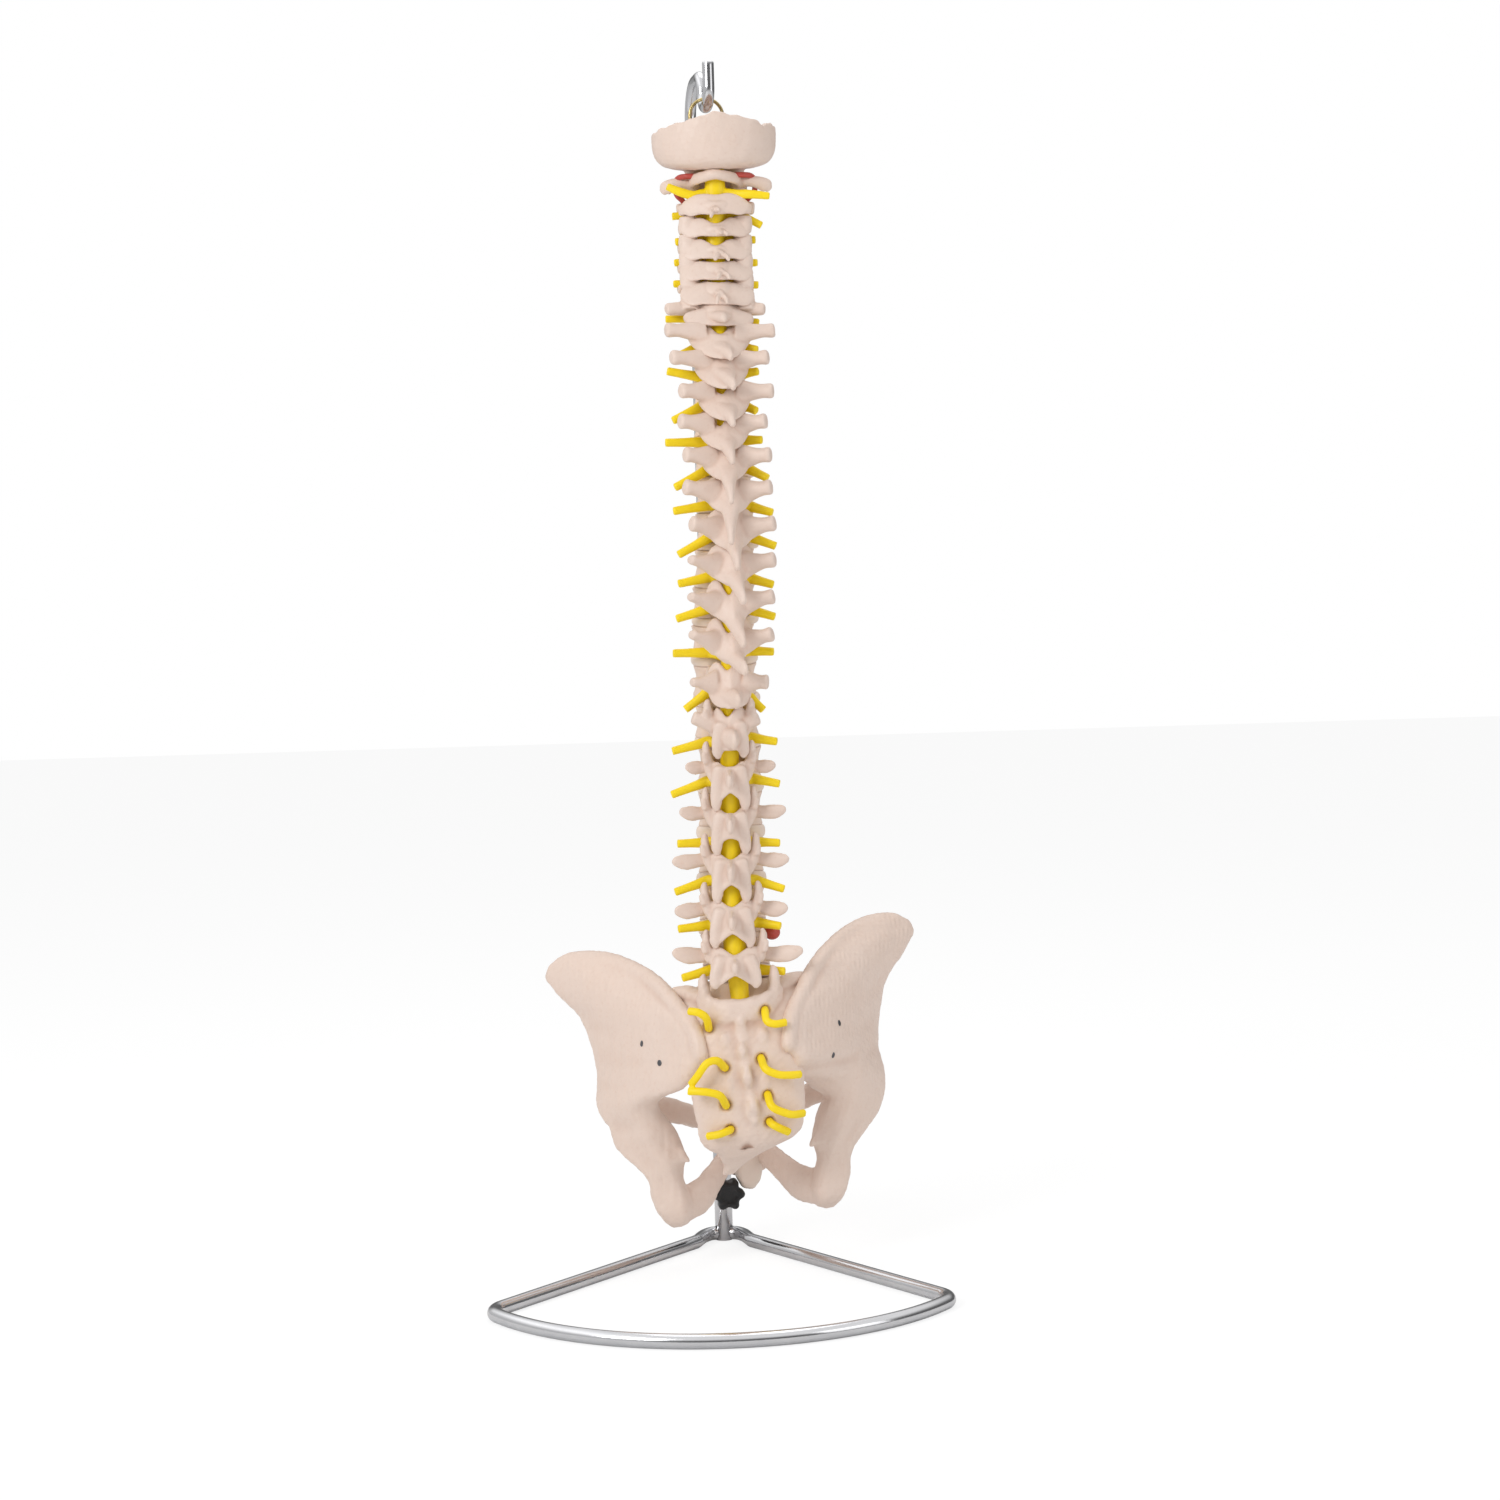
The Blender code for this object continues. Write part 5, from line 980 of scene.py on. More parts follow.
class SPINE_OT_discs(bpy.types.Operator):
    """The discs: the bodies' outline, bulging 3.5 per cent between two flat plates, with rounded rims"""

    bl_idname = "spine.discs"
    bl_label = "Discs"

    def execute(self, context):
        for upper in LEVELS[:-1]:
            level = LEVELS.index(upper)
            lower = LEVELS[level - 1] if level else "S1"
            size = lower if level else "L5"
            width = (graded(BODY_WIDTH, size) + graded(BODY_WIDTH, upper)) / 2
            depth = (graded(BODY_DEPTH, size) + graded(BODY_DEPTH, upper)) / 2
            half = disc_below(upper) / 2 + 0.1
            turn = np.radians(np.linspace(-90, 90, 13))
            rings = []
            for a in turn:
                bulge = math.cos(a) ** 0.7 if abs(math.cos(a)) > 1e-6 else 0.0
                rings.append(kidney(width, depth, 64) * (0.90 + 0.135 * bulge) + (0, 0, half * math.sin(a)))
            cushion = moved(column_frame(gap_below(upper)), twisted([skin(np.array(rings))], upper))
            mesh = Mesher.mesh("cushion", cushion)
            node = "disc_%s_%s" % (upper, lower)
            Mesher.show(
                "cartilage-%s-%s" % (upper, lower), mesh, finish_of("disc"), "mast", node, slot="cartilage",
                sharp=50,
            )
        return {"FINISHED"}


def nerve_rows(name, side):
    """One nerve root, from the cord out between two levels, in its gap's frame."""
    left_out, left_up, right_out, right_up, left_root, right_root = NERVES[name]
    out, up, foot = (left_out, left_up, left_root) if side < 0 else (right_out, right_up, right_root)
    level, front = canal_y(name), -graded(BODY_DEPTH, name) / 2
    if name == "C1":
        return [
            (0, level, 0.5, 3.0, 4.6), (side * 9, level - 1.5, 0.2, 2.8, 3.9),
            (side * 15, level - 3.0, -0.4, 2.6, 3.4), (side * 24, level - 5.0, up * 0.35, 2.3, 3.1),
            (side * out, level - 5.0, up, 2.0, 2.6),
        ]
    if name[0] == "C":
        return [
            (0, level, 0, 1.9, 1.9), (side * 11.8, front - 2.6, foot * 0.6, 2.2, 2.2),
            (side * 17.5, front - 2.2, foot, 2.4, 2.6), (side * (out + 0.5), front - 3.0, up, 2.5, 2.7),
        ]
    neck = graded(CANAL_WIDTH, name) / 2 + 4.5
    rows = [
        (0, level, foot * 0.4, 2.4, 2.4),
        (side * neck * 0.6, level * 0.45 + front * 0.55, foot * 0.85, 3.2, 3.4),
        (side * neck, front - 1.2, foot, 3.5, 3.9),
    ]
    for share, size in ((0.25, 3.4), (0.6, 2.95), (1.0, 2.75)):
        x, z = neck + (out - neck) * share, foot + (up - foot) * share
        rows.append((side * x, front - 1.2 - 3.8 * share, z, size, size * 1.04))
    return rows


# The sacrum's canal from its lowest point up: x, y, z, radius; then the cord's distance from its wall
SACRAL_CANAL = ((0, -43, -62, 4.6), (0, -37, -38, 5.8), (0, -25.5, -12, 7.2))
CORD_GAP = 0.9
NERVE_VOXEL = 0.7
# The sacrum's rear nerves, left then right of each pair of openings, from the opening to the tip
REAR_NERVES = (
    ((-23, -38, -26), (-24.5, -45.5, -18), (-29.5, -47, -13.5), (-36, -44.5, -12)),
    ((15.5, -39, -19), (16, -46, -25), (21.5, -48, -27.5), (29, -46, -27.5)),
    ((-14.5, -47, -52.5), (-19.5, -55, -46), (-26.5, -57, -46.5), (-33, -56, -54), (-38, -53, -60)),
    ((10.5, -47, -50), (12.5, -55.5, -55.5), (20.5, -57, -60), (28, -56, -61.5), (36, -53, -62.5)),
    ((-15.5, -49, -77.5), (-19, -56.5, -69.5), (-26, -58, -66), (-33, -57, -64.5), (-40, -54, -64)),
    ((13, -49, -74.5), (15, -57, -81), (24, -57, -86.5), (30, -55, -88.5), (36.5, -51, -89)),
    ((-13.5, -47, -94.5), (-17, -53, -94.5), (-22, -53.5, -95.5), (-29.5, -49.5, -96.5)),
    ((13, -46, -92.5), (15, -52, -94), (19.5, -52.5, -97), (25.5, -48.5, -101)),
)
PELVIS_TURN, PELVIS_ROLL, PELVIS_LEAN = math.radians(3), -math.radians(5.2), 0.05


def pelvis_frame():
    """The pelvis stands turned and rolled on the sacrum's plate, with its lower end leaning to the left."""
    turn = Matrix.Rotation(PELVIS_TURN, 4, "Z") @ Matrix.Rotation(PELVIS_ROLL, 4, "Y")
    matrix = Matrix.Translation(Vector(PLATE)) @ turn
    return np.array(matrix @ Matrix(((1, 0, PELVIS_LEAN, 0), (0, 1, 0, 0), (0, 0, 1, 0), (0, 0, 0, 1))))


class SPINE_OT_cord(bpy.types.Operator):
    """The cord and its nerves: ovals along each path, cut square at the tips"""

    bl_idname = "spine.cord"
    bl_label = "Cord and nerves"

    def execute(self, context):
        pelvis = pelvis_frame()
        rows = []
        for x, y, z, wall in SACRAL_CANAL:
            rows.append((*placed(pelvis, (x, y, z)), wall - CORD_GAP, wall - CORD_GAP))
        for name in LEVELS:
            place = placed(column_frame(rise_of(name)), (0, canal_y(name), 0))
            rows.append((*place, graded(CORD, name) * 1.1, graded(CORD, name)))
        rows.append((rows[-1][0], rows[-1][1] - 1, PLATE[2] + rise_of("C1") + 18, 5.8, 5.8))
        skins = [strand(rows, flat=FORWARD, around=24, fine=4)]
        for name in LEVELS:
            for side in (-1, 1):
                nerve = strand(nerve_rows(name, side), around=16, fine=5, rounded=False)
                skins += moved(column_frame(gap_below(name)), [nerve])
        for way in REAR_NERVES:
            x, y, z = way[0]
            rows = [(x, y + 8, z, 2.7, 2.7)] + [(*place, 2.75, 2.75) for place in way]
            skins += moved(pelvis, [strand(rows, around=16, fine=6, rounded=False)])
        mesh = Mesher.fused("nerves", skins, NERVE_VOXEL, passes=5, uneven=0.03, seed=11)
        Mesher.show("nerves", mesh, finish_of("nerve"), "mast", "spinal_cord", slot="nerve")
        return {"FINISHED"}


class SPINE_OT_vessels(bpy.types.Operator):
    """The two arteries of the neck and the red bulge beside the lowest disc but one"""

    bl_idname = "spine.vessels"
    bl_label = "Arteries and bulge"

    def execute(self, context):
        for side, label in ((-1, "artery_left"), (1, "artery_right")):
            way = []
            for name, aside, forward, up in (
                ("C6", 17.5, -4, -7), ("C5", 17.2, -4, 0), ("C4", 17, -4, 0), ("C3", 17, -4, 0),
                ("C2", 21.4, -5, -3), ("C2", 21.6, -5.2, 4.5), ("C1", 26.5, -9, -4.5), ("C1", 27, -9.5, 3),
                ("C1", 24.5, -15, 5.6), ("C1", 19, -19, 5.8), ("C1", 12.5, -18.5, 5.8),
            ):
                way.append((*placed(column_frame(rise_of(name)), (side * aside, forward, up)), 1.9, 1.9))
            mesh = Mesher.mesh(label, [strand(way, flat=FORWARD, around=16, fine=7)])
            Mesher.show("vessel-" + label, mesh, finish_of("vessel"), "mast", label, slot="artery")
        place = (graded(BODY_WIDTH, "L5") / 2 + 2.4, -graded(BODY_DEPTH, "L5") * 0.25, -5.6)
        bulge = ball_skin(place, (5.6, 5.6, 5.2), np.linspace(0, np.pi, 17)[1:-1], 32)
        mesh = Mesher.mesh("bulge", moved(column_frame(gap_below("L4")), [bulge]))
        Mesher.show("disc-bulge", mesh, finish_of("vessel"), "mast", slot="artery")
        return {"FINISHED"}


SACRUM = (
    (-1, 0, 0, 23.5, 15.5), (-8, -4, 0, 43, 16.5), (-18, -12, 0, 43, 22.5), (-38, -24, 0, 40, 20.5),
    (-62, -34, 0, 39, 15.5), (-88, -38, 1, 37, 12), (-104, -37, 0, 33, 9.4), (-112, -33, -4, 20, 7),
    (-122, -22, -11, 8.5, 4.8), (-131, -13, -16, 4.5, 3.4),
)


class SPINE_OT_sacrum(bpy.types.Operator):
    """The sacrum: ovals down a curved line, the rear crest and side knobs, a dent round each rear opening"""

    bl_idname = "spine.sacrum"
    bl_label = "Sacrum"

    def execute(self, context):
        around = 64
        rows = spline(np.array(SACRUM, float), np.linspace(0, len(SACRUM) - 1, 60))
        angle = round_angles(around)
        x = rows[:, 2:3] + rows[:, 3:4] * np.cos(angle)
        y = rows[:, 1:2] + rows[:, 4:5] * np.sin(angle)
        z = np.broadcast_to(rows[:, 0:1], x.shape)
        skins = [skin(np.stack([x, y, z], -1))]
        ear = [
            (22.5, -24, -16, 5.4, 6.4), (23.8, -27, -4, 4.4, 5.4), (24.2, -27, 4, 3.4, 4.0),
            (23.8, -26.5, 7.5, 2.2, 2.8),
        ]
        lamina = [
            (2, -37.5, -17.5, 5.5, 8.5), (9, -37, -17, 5.5, 9), (16, -34, -16.5, 5, 9),
            (22, -29, -13, 4.5, 8), (25, -26, -7, 4, 6),
        ]
        skins += both(ear, flat=FORWARD) + both(lamina, flat=UP)
        crest = [
            (-1, -35.5, -17, 6.0, 3.0), (-1.8, -40.5, -28, 4.6, 2.6), (-0.6, -44.4, -42, 4.2, 2.4),
            (-1.2, -48, -56, 4.8, 2.6), (0.6, -48.6, -70, 4.2, 2.4), (2, -50, -82, 5.2, 3.0),
            (3, -48, -90, 4.6, 3.0), (2, -44, -98, 4.0, 2.4),
        ]
        for place, tall in (
            ((-1.5, -41.5, -24), 6), ((-2, -47.5, -44), 5), ((-0.2, -52, -60), 6), ((2.6, -52.5, -80), 5),
            ((3.2, -49.5, -90), 4),
        ):
            knob = [
                (place[0], place[1] + 1.5, place[2] + tall, 2.6, 2.4), (*place, 3.6, 3.4),
                (place[0] + 0.5, place[1] + 1.8, place[2] - tall, 2.2, 2.2),
            ]
            skins += [strand(knob, flat=FORWARD)]
        skins += [strand(crest, flat=FORWARD)]
        left_horn = [(-7.5, -43, -94, 3.2, 4), (-10.5, -39, -104, 2.8, 3.2), (-13, -34, -113, 2.2, 2.6)]
        right_horn = [(9, -43, -94, 3, 3.6), (8, -38, -103, 2.5, 3), (7, -35, -110, 2, 2.2)]
        skins += [strand(left_horn, flat=FORWARD), strand(right_horn, flat=FORWARD)]
        for up, out, back in ((-38, 13, -41.5), (-66, 12, -47), (-88, 11, -46)):
            knob = [
                (out, back, up + 6, 3.4, 2.6), (out, back - 0.5, up, 4.0, 3.0),
                (out, back, up - 6, 3.2, 2.4),
            ]
            skins += both(knob, flat=FORWARD)
        for up, out, back in ((-44, 30, -39), (-70, 29, -42.5), (-90, 25, -41.5)):
            knob = [(out, back, up + 4, 4, 3), (out, back - 1, up, 4.4, 3.4), (out, back, up - 4, 3.6, 2.6)]
            skins += both(knob, flat=FORWARD)
        wing = [(24, -12, -10, 8, 7), (36, -8, -5, 6.5, 5.5), (44, -6, -4, 4, 4)]
        skins += both(wing)
        # Each dent round a rear opening is also darkened as painted shade.
        dents = []
        pelvis = pelvis_frame()
        turn = pelvis[:3, :3]
        for way in REAR_NERVES:
            x, y, z = way[0]
            dents.append((placed(pelvis, (x, y - 3, z)), turn @ (0, 1.0, 0), 3.7, 5.0))
        dents.append((placed(pelvis, (-3, -50, -110)), turn @ (0, 1.0, 0), 4.2, 4))
        voxel = context.scene.spine_looks.wide_voxel / MM
        mesh = Mesher.fused(
            "bone-sacrum", moved(pelvis, skins), voxel, passes=9, uneven=0.42, dents=dents, seed=41,
        )
        Mesher.show("bone-sacrum", mesh, finish_of("bone"), "mast", "sacrum", slot="bone")
        return {"FINISHED"}


# The hip bone by height: rear edge (x, y), front edge (x, y), then its thickness at the rear, in the middle
# and at the front, and its bow
HIP = (
    (23.5, 92, 42, 114, 57, 5, 7, 5, 1), (22, 84, 36, 121, 60, 9, 9, 9, 2),
    (17, 74, 27, 129, 64, 10, 7, 10, 4), (8, 60, 10, 130.5, 64, 10, 5.5, 11, 6),
    (-6, 47.5, -10, 122, 62, 10, 5, 10, 8), (-16, 39.5, -24, 113, 60, 11, 5.5, 9, 9),
    (-26, 32, -34, 107, 57, 12, 7, 9, 9), (-37, 28, -40, 104, 55, 13, 9, 9, 9),
    (-48, 30.5, -42.5, 101, 53, 13, 11, 10, 8), (-58, 37, -41, 99.5, 50, 12, 13, 11, 7),
    (-66, 45, -34, 98.5, 48, 11, 15, 13, 6), (-73, 59, -18, 98.5, 46, 12, 19, 16, 4),
    (-81, 62.5, -7, 99, 43, 14, 24, 20, 3), (-90, 58.5, -1, 99, 41, 15, 30, 24, 2),
    (-100, 51.5, 1, 96, 38, 14, 33, 26, 2), (-110, 47.5, 1, 90, 33, 13, 30, 24, 1),
    (-119, 45, 0, 80, 23, 11, 26, 20, 0), (-127, 46.5, 4, 73, 14, 12, 23, 17, 0),
    (-135, 46.5, 7, 70, 11, 15, 22, 17, 0), (-145, 43.5, 7, 69, 12, 18, 25, 18, 0),
    (-154, 42, 6, 65.5, 12, 20, 26, 18, 0), (-162, 43.5, 7, 60, 13, 18, 22, 16, 0),
    (-167.5, 47, 9, 55, 13, 10, 12, 10, 0),
)


def hip_shell():
    """The hip bone from crest to sitting bone, one closed plate by height.

    A section runs from its rear edge to its front edge, bowed outward by bow * sin(pi u). Its thickness
    blends the rear, middle and front values, and closes at both edges by (1 - |2u - 1| ^ 12) ^ 0.5.
    """
    rows = spline(np.array(HIP, float), np.linspace(0, len(HIP) - 1, 133))
    u = (1 - np.cos(np.linspace(0, np.pi, 33))) / 2
    rear, front = rows[:, 1:3], rows[:, 3:5]
    chord = front - rear
    outward = unit(np.stack([chord[:, 1], -chord[:, 0]], 1))
    near_rear, near_front = np.exp(-((u / 0.14) ** 2)), np.exp(-(((1 - u) / 0.12) ** 2))
    at_rear, amid, at_front = rows[:, 5:6], rows[:, 6:7], rows[:, 7:8]
    thick = amid + (at_rear - amid) * near_rear + (at_front - amid) * near_front
    thick = thick * np.sqrt(np.clip(1 - np.abs(2 * u - 1) ** 12, 0.0, 1)) / 2 + 0.05
    bow = (rows[:, 8:9] * np.sin(np.pi * u))[..., None]
    middle = rear[:, None] + chord[:, None] * u[None, :, None] + outward[:, None] * bow
    outer, inner = middle + outward[:, None] * thick[..., None], middle - outward[:, None] * thick[..., None]
    plan = np.concatenate([outer, inner[:, ::-1]], 1)
    height = np.broadcast_to(rows[:, :1], plan.shape[:2])
    return skin(np.concatenate([plan, height[..., None]], 2))


def hip_skins():
    socket = ball_skin((76, 35, -98), (17.5, 18, 20), np.linspace(0.02, np.pi - 0.02, 25), 40)
    skins = [hip_shell(), socket]
    crest = [
        (30, -41, -44, 5.5, 7), (33, -34, -27, 5.5, 6), (42, -20, -13, 5.5, 5.5), (52, -4, 0, 5.5, 5),
        (66, 16, 11, 5.5, 4.6), (84, 35, 19, 5.5, 4.2), (102, 49, 22, 5.5, 4.2), (118, 58, 19.5, 6, 4.8),
        (127, 62.5, 9, 6, 6),
    ]
    skins.append(strand(crest, around=20))
    spur = [(56, 4, -108, 5, 5), (48, 1, -115, 3.6, 3.6), (42.5, -1, -121, 2.0, 2.2)]
    skins.append(strand(spur, around=16))
    lower_branch = [
        (52, 12, -155, 10, 12), (35, 24, -151, 6, 13), (24.5, 38, -142.5, 5, 11.5),
        (14.5, 57, -134, 5.2, 10), (10.5, 66, -129, 6, 11),
    ]
    skins.append(strand(lower_branch, around=24))
    upper_branch = [
        (76, 38, -92, 11, 12), (57, 50, -92.5, 7, 9.5), (42, 58, -99, 6.4, 8), (24, 66, -108, 6, 7.4),
        (11.5, 70, -117, 6, 8),
    ]
    skins.append(strand(upper_branch, around=24))
    angle = round_angles(32)
    rings = []
    for x, share in ((4.8, 0.9), (5.2, 1.0), (8, 1.0), (12, 0.96), (15.5, 0.8)):
        y, z = 70 + 7.5 * share * np.cos(angle), -130 + 20 * share * np.sin(angle)
        rings.append(np.stack([np.full(32, x), y, z], 1))
    skins.append(skin(np.array(rings)))
    return skins


def uneven_sides(points, side):
    """How far each point of a hip bone moves inwards: the cast's sides differ at the notch and the socket."""
    x, z = points[:, 0], points[:, 2]
    inner, outer = np.clip((85 - x) / 40, 0, 1), np.clip((x - 62) / 34, 0, 1)
    if side > 0:
        notch = 27 * np.exp(-(((z + 73) / 13) ** 4)) * inner * (points[:, 1] < 25)
        return notch + (2.4 + 2.6 * np.exp(-(((z + 84) / 24) ** 2))) * outer
    return 7 * np.exp(-(((z + 97) / 14) ** 2)) * outer


class SPINE_OT_hips(bpy.types.Operator):
    """The two hip bones: blade, socket, sitting bone and the two branches to the front joint"""

    bl_idname = "spine.hips"
    bl_label = "Hip bones"

    def execute(self, context):
        pelvis = pelvis_frame()
        turn = pelvis[:3, :3]
        voxel = context.scene.spine_looks.wide_voxel / MM
        for side, label in ((-1, "hip_left"), (1, "hip_right")):
            skins = []
            for points, quads, caps in hip_skins():
                points = points - uneven_sides(points, side)[:, None] * (1, 0, 0)
                points = points * (side, 1, 1)
                if side < 0:
                    quads, caps = quads[:, ::-1], [cap[::-1] for cap in caps]
                skins.append((placed(pelvis, points), quads, caps))
            # The socket's dent is also darkened as painted shade.
            cup = [(placed(pelvis, (side * 97, 47, -98)), turn @ (-side * 0.85, -0.52, 0.1), 15, 11)]
            mesh = Mesher.fused(
                "bone-" + label, skins, voxel, passes=22, uneven=0.34, dents=cup, seed=50 + side,
            )
            Mesher.show("bone-" + label, mesh, finish_of("bone"), "mast", label, slot="bone")
        return {"FINISHED"}


CUSHION_VOXEL = 0.9


class SPINE_OT_front_joint(bpy.types.Operator):
    """The pale cushion between the two pubic bones, which hangs below them in a lobed edge"""

    bl_idname = "spine.front_joint"
    bl_label = "Front joint"

    def execute(self, context):
        angle = round_angles(48)
        rings = []
        for x, share in (
            (-9.0, 0.55), (-8.0, 0.72), (-4.7, 0.95), (-2.5, 1.0), (0, 1.03), (2.5, 1.0), (4.7, 0.97),
            (8.6, 0.8), (10.4, 0.6),
        ):
            y = 66 + 9 * share * np.cos(angle)
            lobes = 1.2 * np.sin(angle * 3) * (np.sin(angle) < 0)
            z = -133 + (27 * share + 1.6 * (x > 2)) * np.sin(angle) + lobes
            rings.append(np.stack([np.full(48, x), y, z], 1))
        cushion = moved(pelvis_frame(), [skin(np.array(rings))])
        mesh = Mesher.fused("front-joint", cushion, CUSHION_VOXEL, passes=4, uneven=0.3, seed=61)
        Mesher.show("cartilage-front", mesh, finish_of("disc"), "mast", "symphysis_disc", slot="cartilage")
        return {"FINISHED"}


BOWL = (16.5, -66.0)
BOWL_OUT = (
    (748.8, 20, 19), (749.8, 28.5, 27.5), (755, 37, 34.2), (766, 41.5, 37), (776, 42.5, 38),
    (783, 42.5, 38),
)
BOWL_IN = ((783, 38.6, 34), (768, 36.5, 32), (760, 31, 27), (756.5, 20, 17))


class SPINE_OT_skull(bpy.types.Operator):
    """The skull's base: an oval bowl with an uneven rim, two condyles and a dent for its great opening"""

    bl_idname = "spine.skull"
    bl_label = "Skull base"

    def execute(self, context):
        around = 120
        angle = round_angles(around)
        near = np.clip(-np.sin(angle) * 2, -1, 1)
        aside = np.cos(angle)
        dip, peak = np.exp(-(((aside - 0.79) / 0.05) ** 2)), np.exp(-(((aside - 0.05) / 0.28) ** 2))
        wave = -3.4 * np.abs(aside - 0.05) ** 1.3 - (aside < 0) * 2.6 * np.abs(aside) - 3.2 * dip
        wave = wave + 1.6 + near * 2.4 * peak + 0.5 * np.sin(17 * angle + 2.0) + 0.3 * np.sin(31 * angle)
        wave = wave + 1.2 * np.cos(3 * angle + 0.6) * (near < 0)
        outside = spline(np.array(BOWL_OUT, float), np.linspace(0, len(BOWL_OUT) - 1, 26))
        inside = spline(np.array(BOWL_IN, float), np.linspace(0, len(BOWL_IN) - 1, 16))
        rings = []
        for height, wide, deep in np.concatenate([outside, inside]):
            lift = wave * np.clip((height - 760) / 23, 0, 1) ** 1.3
            lift = lift + 0.15 * (deep * np.sin(angle) + 34) * np.clip((763 - height) / 13, 0, 1)
            x, y = BOWL[0] + wide * np.cos(angle), BOWL[1] + deep * np.sin(angle)
            rings.append(np.stack([x, y, height + lift], 1))
        skins = [skin(np.array(rings))]
        boss = [(12.5, -60, 752, 16.5, 9.9), (12.5, -60, 765, 16, 9.2), (12.5, -60, 776, 14.5, 8)]
        skins.append(strand(boss, flat=FORWARD, around=28, rounded=False))
        atlas = column_frame(rise_of("C1"))
        for side in (-1, 1):
            rows = []
            for up, share in ((7.0, 0.8), (8.6, 1.0), (13, 1.0)):
                rows.append((*placed(atlas, (side * 14.6, -4.5, up)), 5.2 * share, 7.8 * share))
            skins.append(strand(rows, flat=FORWARD, rounded=False))
        opening = placed(atlas, (0, canal_y("C1"), 0))
        # The opening's dent is also darkened as painted shade.
        dents = [((opening[0], opening[1] + 4, 748), (0, 0, 1), 8.5, 8.0)]
        voxel = context.scene.spine_looks.wide_voxel / MM
        mesh = Mesher.fused("bone-skull", skins, voxel * 0.9, passes=5, uneven=0.25, dents=dents, seed=71)
        Mesher.show("bone-skull-base", mesh, finish_of("bone"), "mast", "occiput", slot="bone")
        return {"FINISHED"}


def arc_rows(centre, radius, start, end, steps, axis_u, axis_v):
    """Points of an arc: centre + u r cos(a) + v r sin(a)."""
    angle = np.linspace(start, end, steps + 1)[:, None]
    across, along = np.asarray(axis_u) * radius * np.cos(angle), np.asarray(axis_v) * radius * np.sin(angle)
    return np.asarray(centre) + across + along


def pipe(points, radius, around=24, flat=UP):
    """A round bar along a polyline: circles square to the path, with a flat cap on each end."""
    points = np.asarray(points, float)
    ahead = unit(np.gradient(points, axis=0))
    side = unit(np.cross(flat, ahead))
    up = np.cross(ahead, side)
    radius = np.broadcast_to(radius, len(points)).astype(float)
    angle = round_angles(around, 0.0)
    rings = points[:, None] + (
        side[:, None] * np.cos(angle)[None, :, None] + up[:, None] * np.sin(angle)[None, :, None]
    ) * radius[:, None, None]
    return skin(rings)


ROD, TUBE = 4.0, 4.8
HOOK_TURN = math.radians(11.0)
HOOK_TOP, BEND, HOOK_REACH, DIP_RADIUS, DIP_Z, TIP_Z = 822.0, 25.0, 62.0, 12.0, 797.5, 826.0
LEG_SPREAD, LEG_REACH, CORNER, FRONT = math.radians(35.3), 259.5, 18.0, 301.5
SLEEVE_RADIUS, SLEEVE_TOP = 6.35, 66.0
KNOB_Z, KNOB_TURN = 38.8, math.radians(8.0)
WIRE, LOOP_RADIUS, LOOP_PLAY, LOOP_FOOT = 1.15, 11.5, 0.3, 768.0
CABLE, CABLE_LOW, CABLE_TOP = 2.6, -22.0, 766.0
THREAD_PITCH, THREAD_RADIUS, THREAD_DEPTH = 0.8, 2.3, 0.2


def turned(profile, around=48):
    """A solid of revolution about Z through (radius, height) pairs."""
    profile = np.asarray(profile, float)
    angle = round_angles(around, 0.0)
    x = profile[:, :1] * np.cos(angle)
    y = profile[:, :1] * np.sin(angle)
    return skin(np.stack([x, y, np.broadcast_to(profile[:, 1:], x.shape)], -1))


def knob_frame():
    place = Matrix.Translation((0, 0, KNOB_Z)) @ Matrix.Rotation(KNOB_TURN, 4, "Z")
    return np.array(place @ Matrix.Rotation(math.pi / 2, 4, "X"))


def base_path():
    """The floor loop's centre line: two straight legs, two round corners and the wide front arc."""
    leg = np.array((math.sin(LEG_SPREAD), -math.cos(LEG_SPREAD)))
    inward = np.array((-math.cos(LEG_SPREAD), -math.sin(LEG_SPREAD)))
    corner = leg * LEG_REACH
    sagitta = FRONT + corner[1]
    radius = (corner[0] ** 2 + sagitta**2) / (2 * sagitta)
    centre = np.array((0.0, radius - FRONT))
    offset = inward * CORNER - centre
    half = leg @ offset
    along = -half + math.sqrt(half**2 - (offset @ offset - (radius - CORNER) ** 2))
    middle = leg * along + inward * CORNER
    touch_leg, touch_front = leg * along, centre + unit(middle - centre) * radius
    start, end = (math.atan2(*(point - middle)[::-1]) for point in (touch_leg, touch_front))
    turn = np.linspace(start, end, 17)[:, None]
    corner_points = middle + CORNER * np.concatenate([np.cos(turn), np.sin(turn)], 1)
    foot = ((5.6, -1.0), (8.6, -2.2), (11.2, -4.6), (13.4, -8.2), (15.6, -13.0), tuple(leg * 34))
    near = spline(np.array(foot), np.linspace(0, 5, 21))
    legs = np.linspace(leg * 34, touch_leg, 12)[1:-1]
    edge = math.atan2(*(touch_front - centre)[::-1])
    sweep = np.linspace(edge, -math.pi - edge, 64)[1:-1, None]
    front = centre + radius * np.concatenate([np.cos(sweep), np.sin(sweep)], 1)
    right = np.concatenate([near, legs, corner_points])
    path = np.concatenate([right, front, (right * (-1, 1))[::-1]])
    return np.column_stack([path, np.full(len(path), TUBE)])


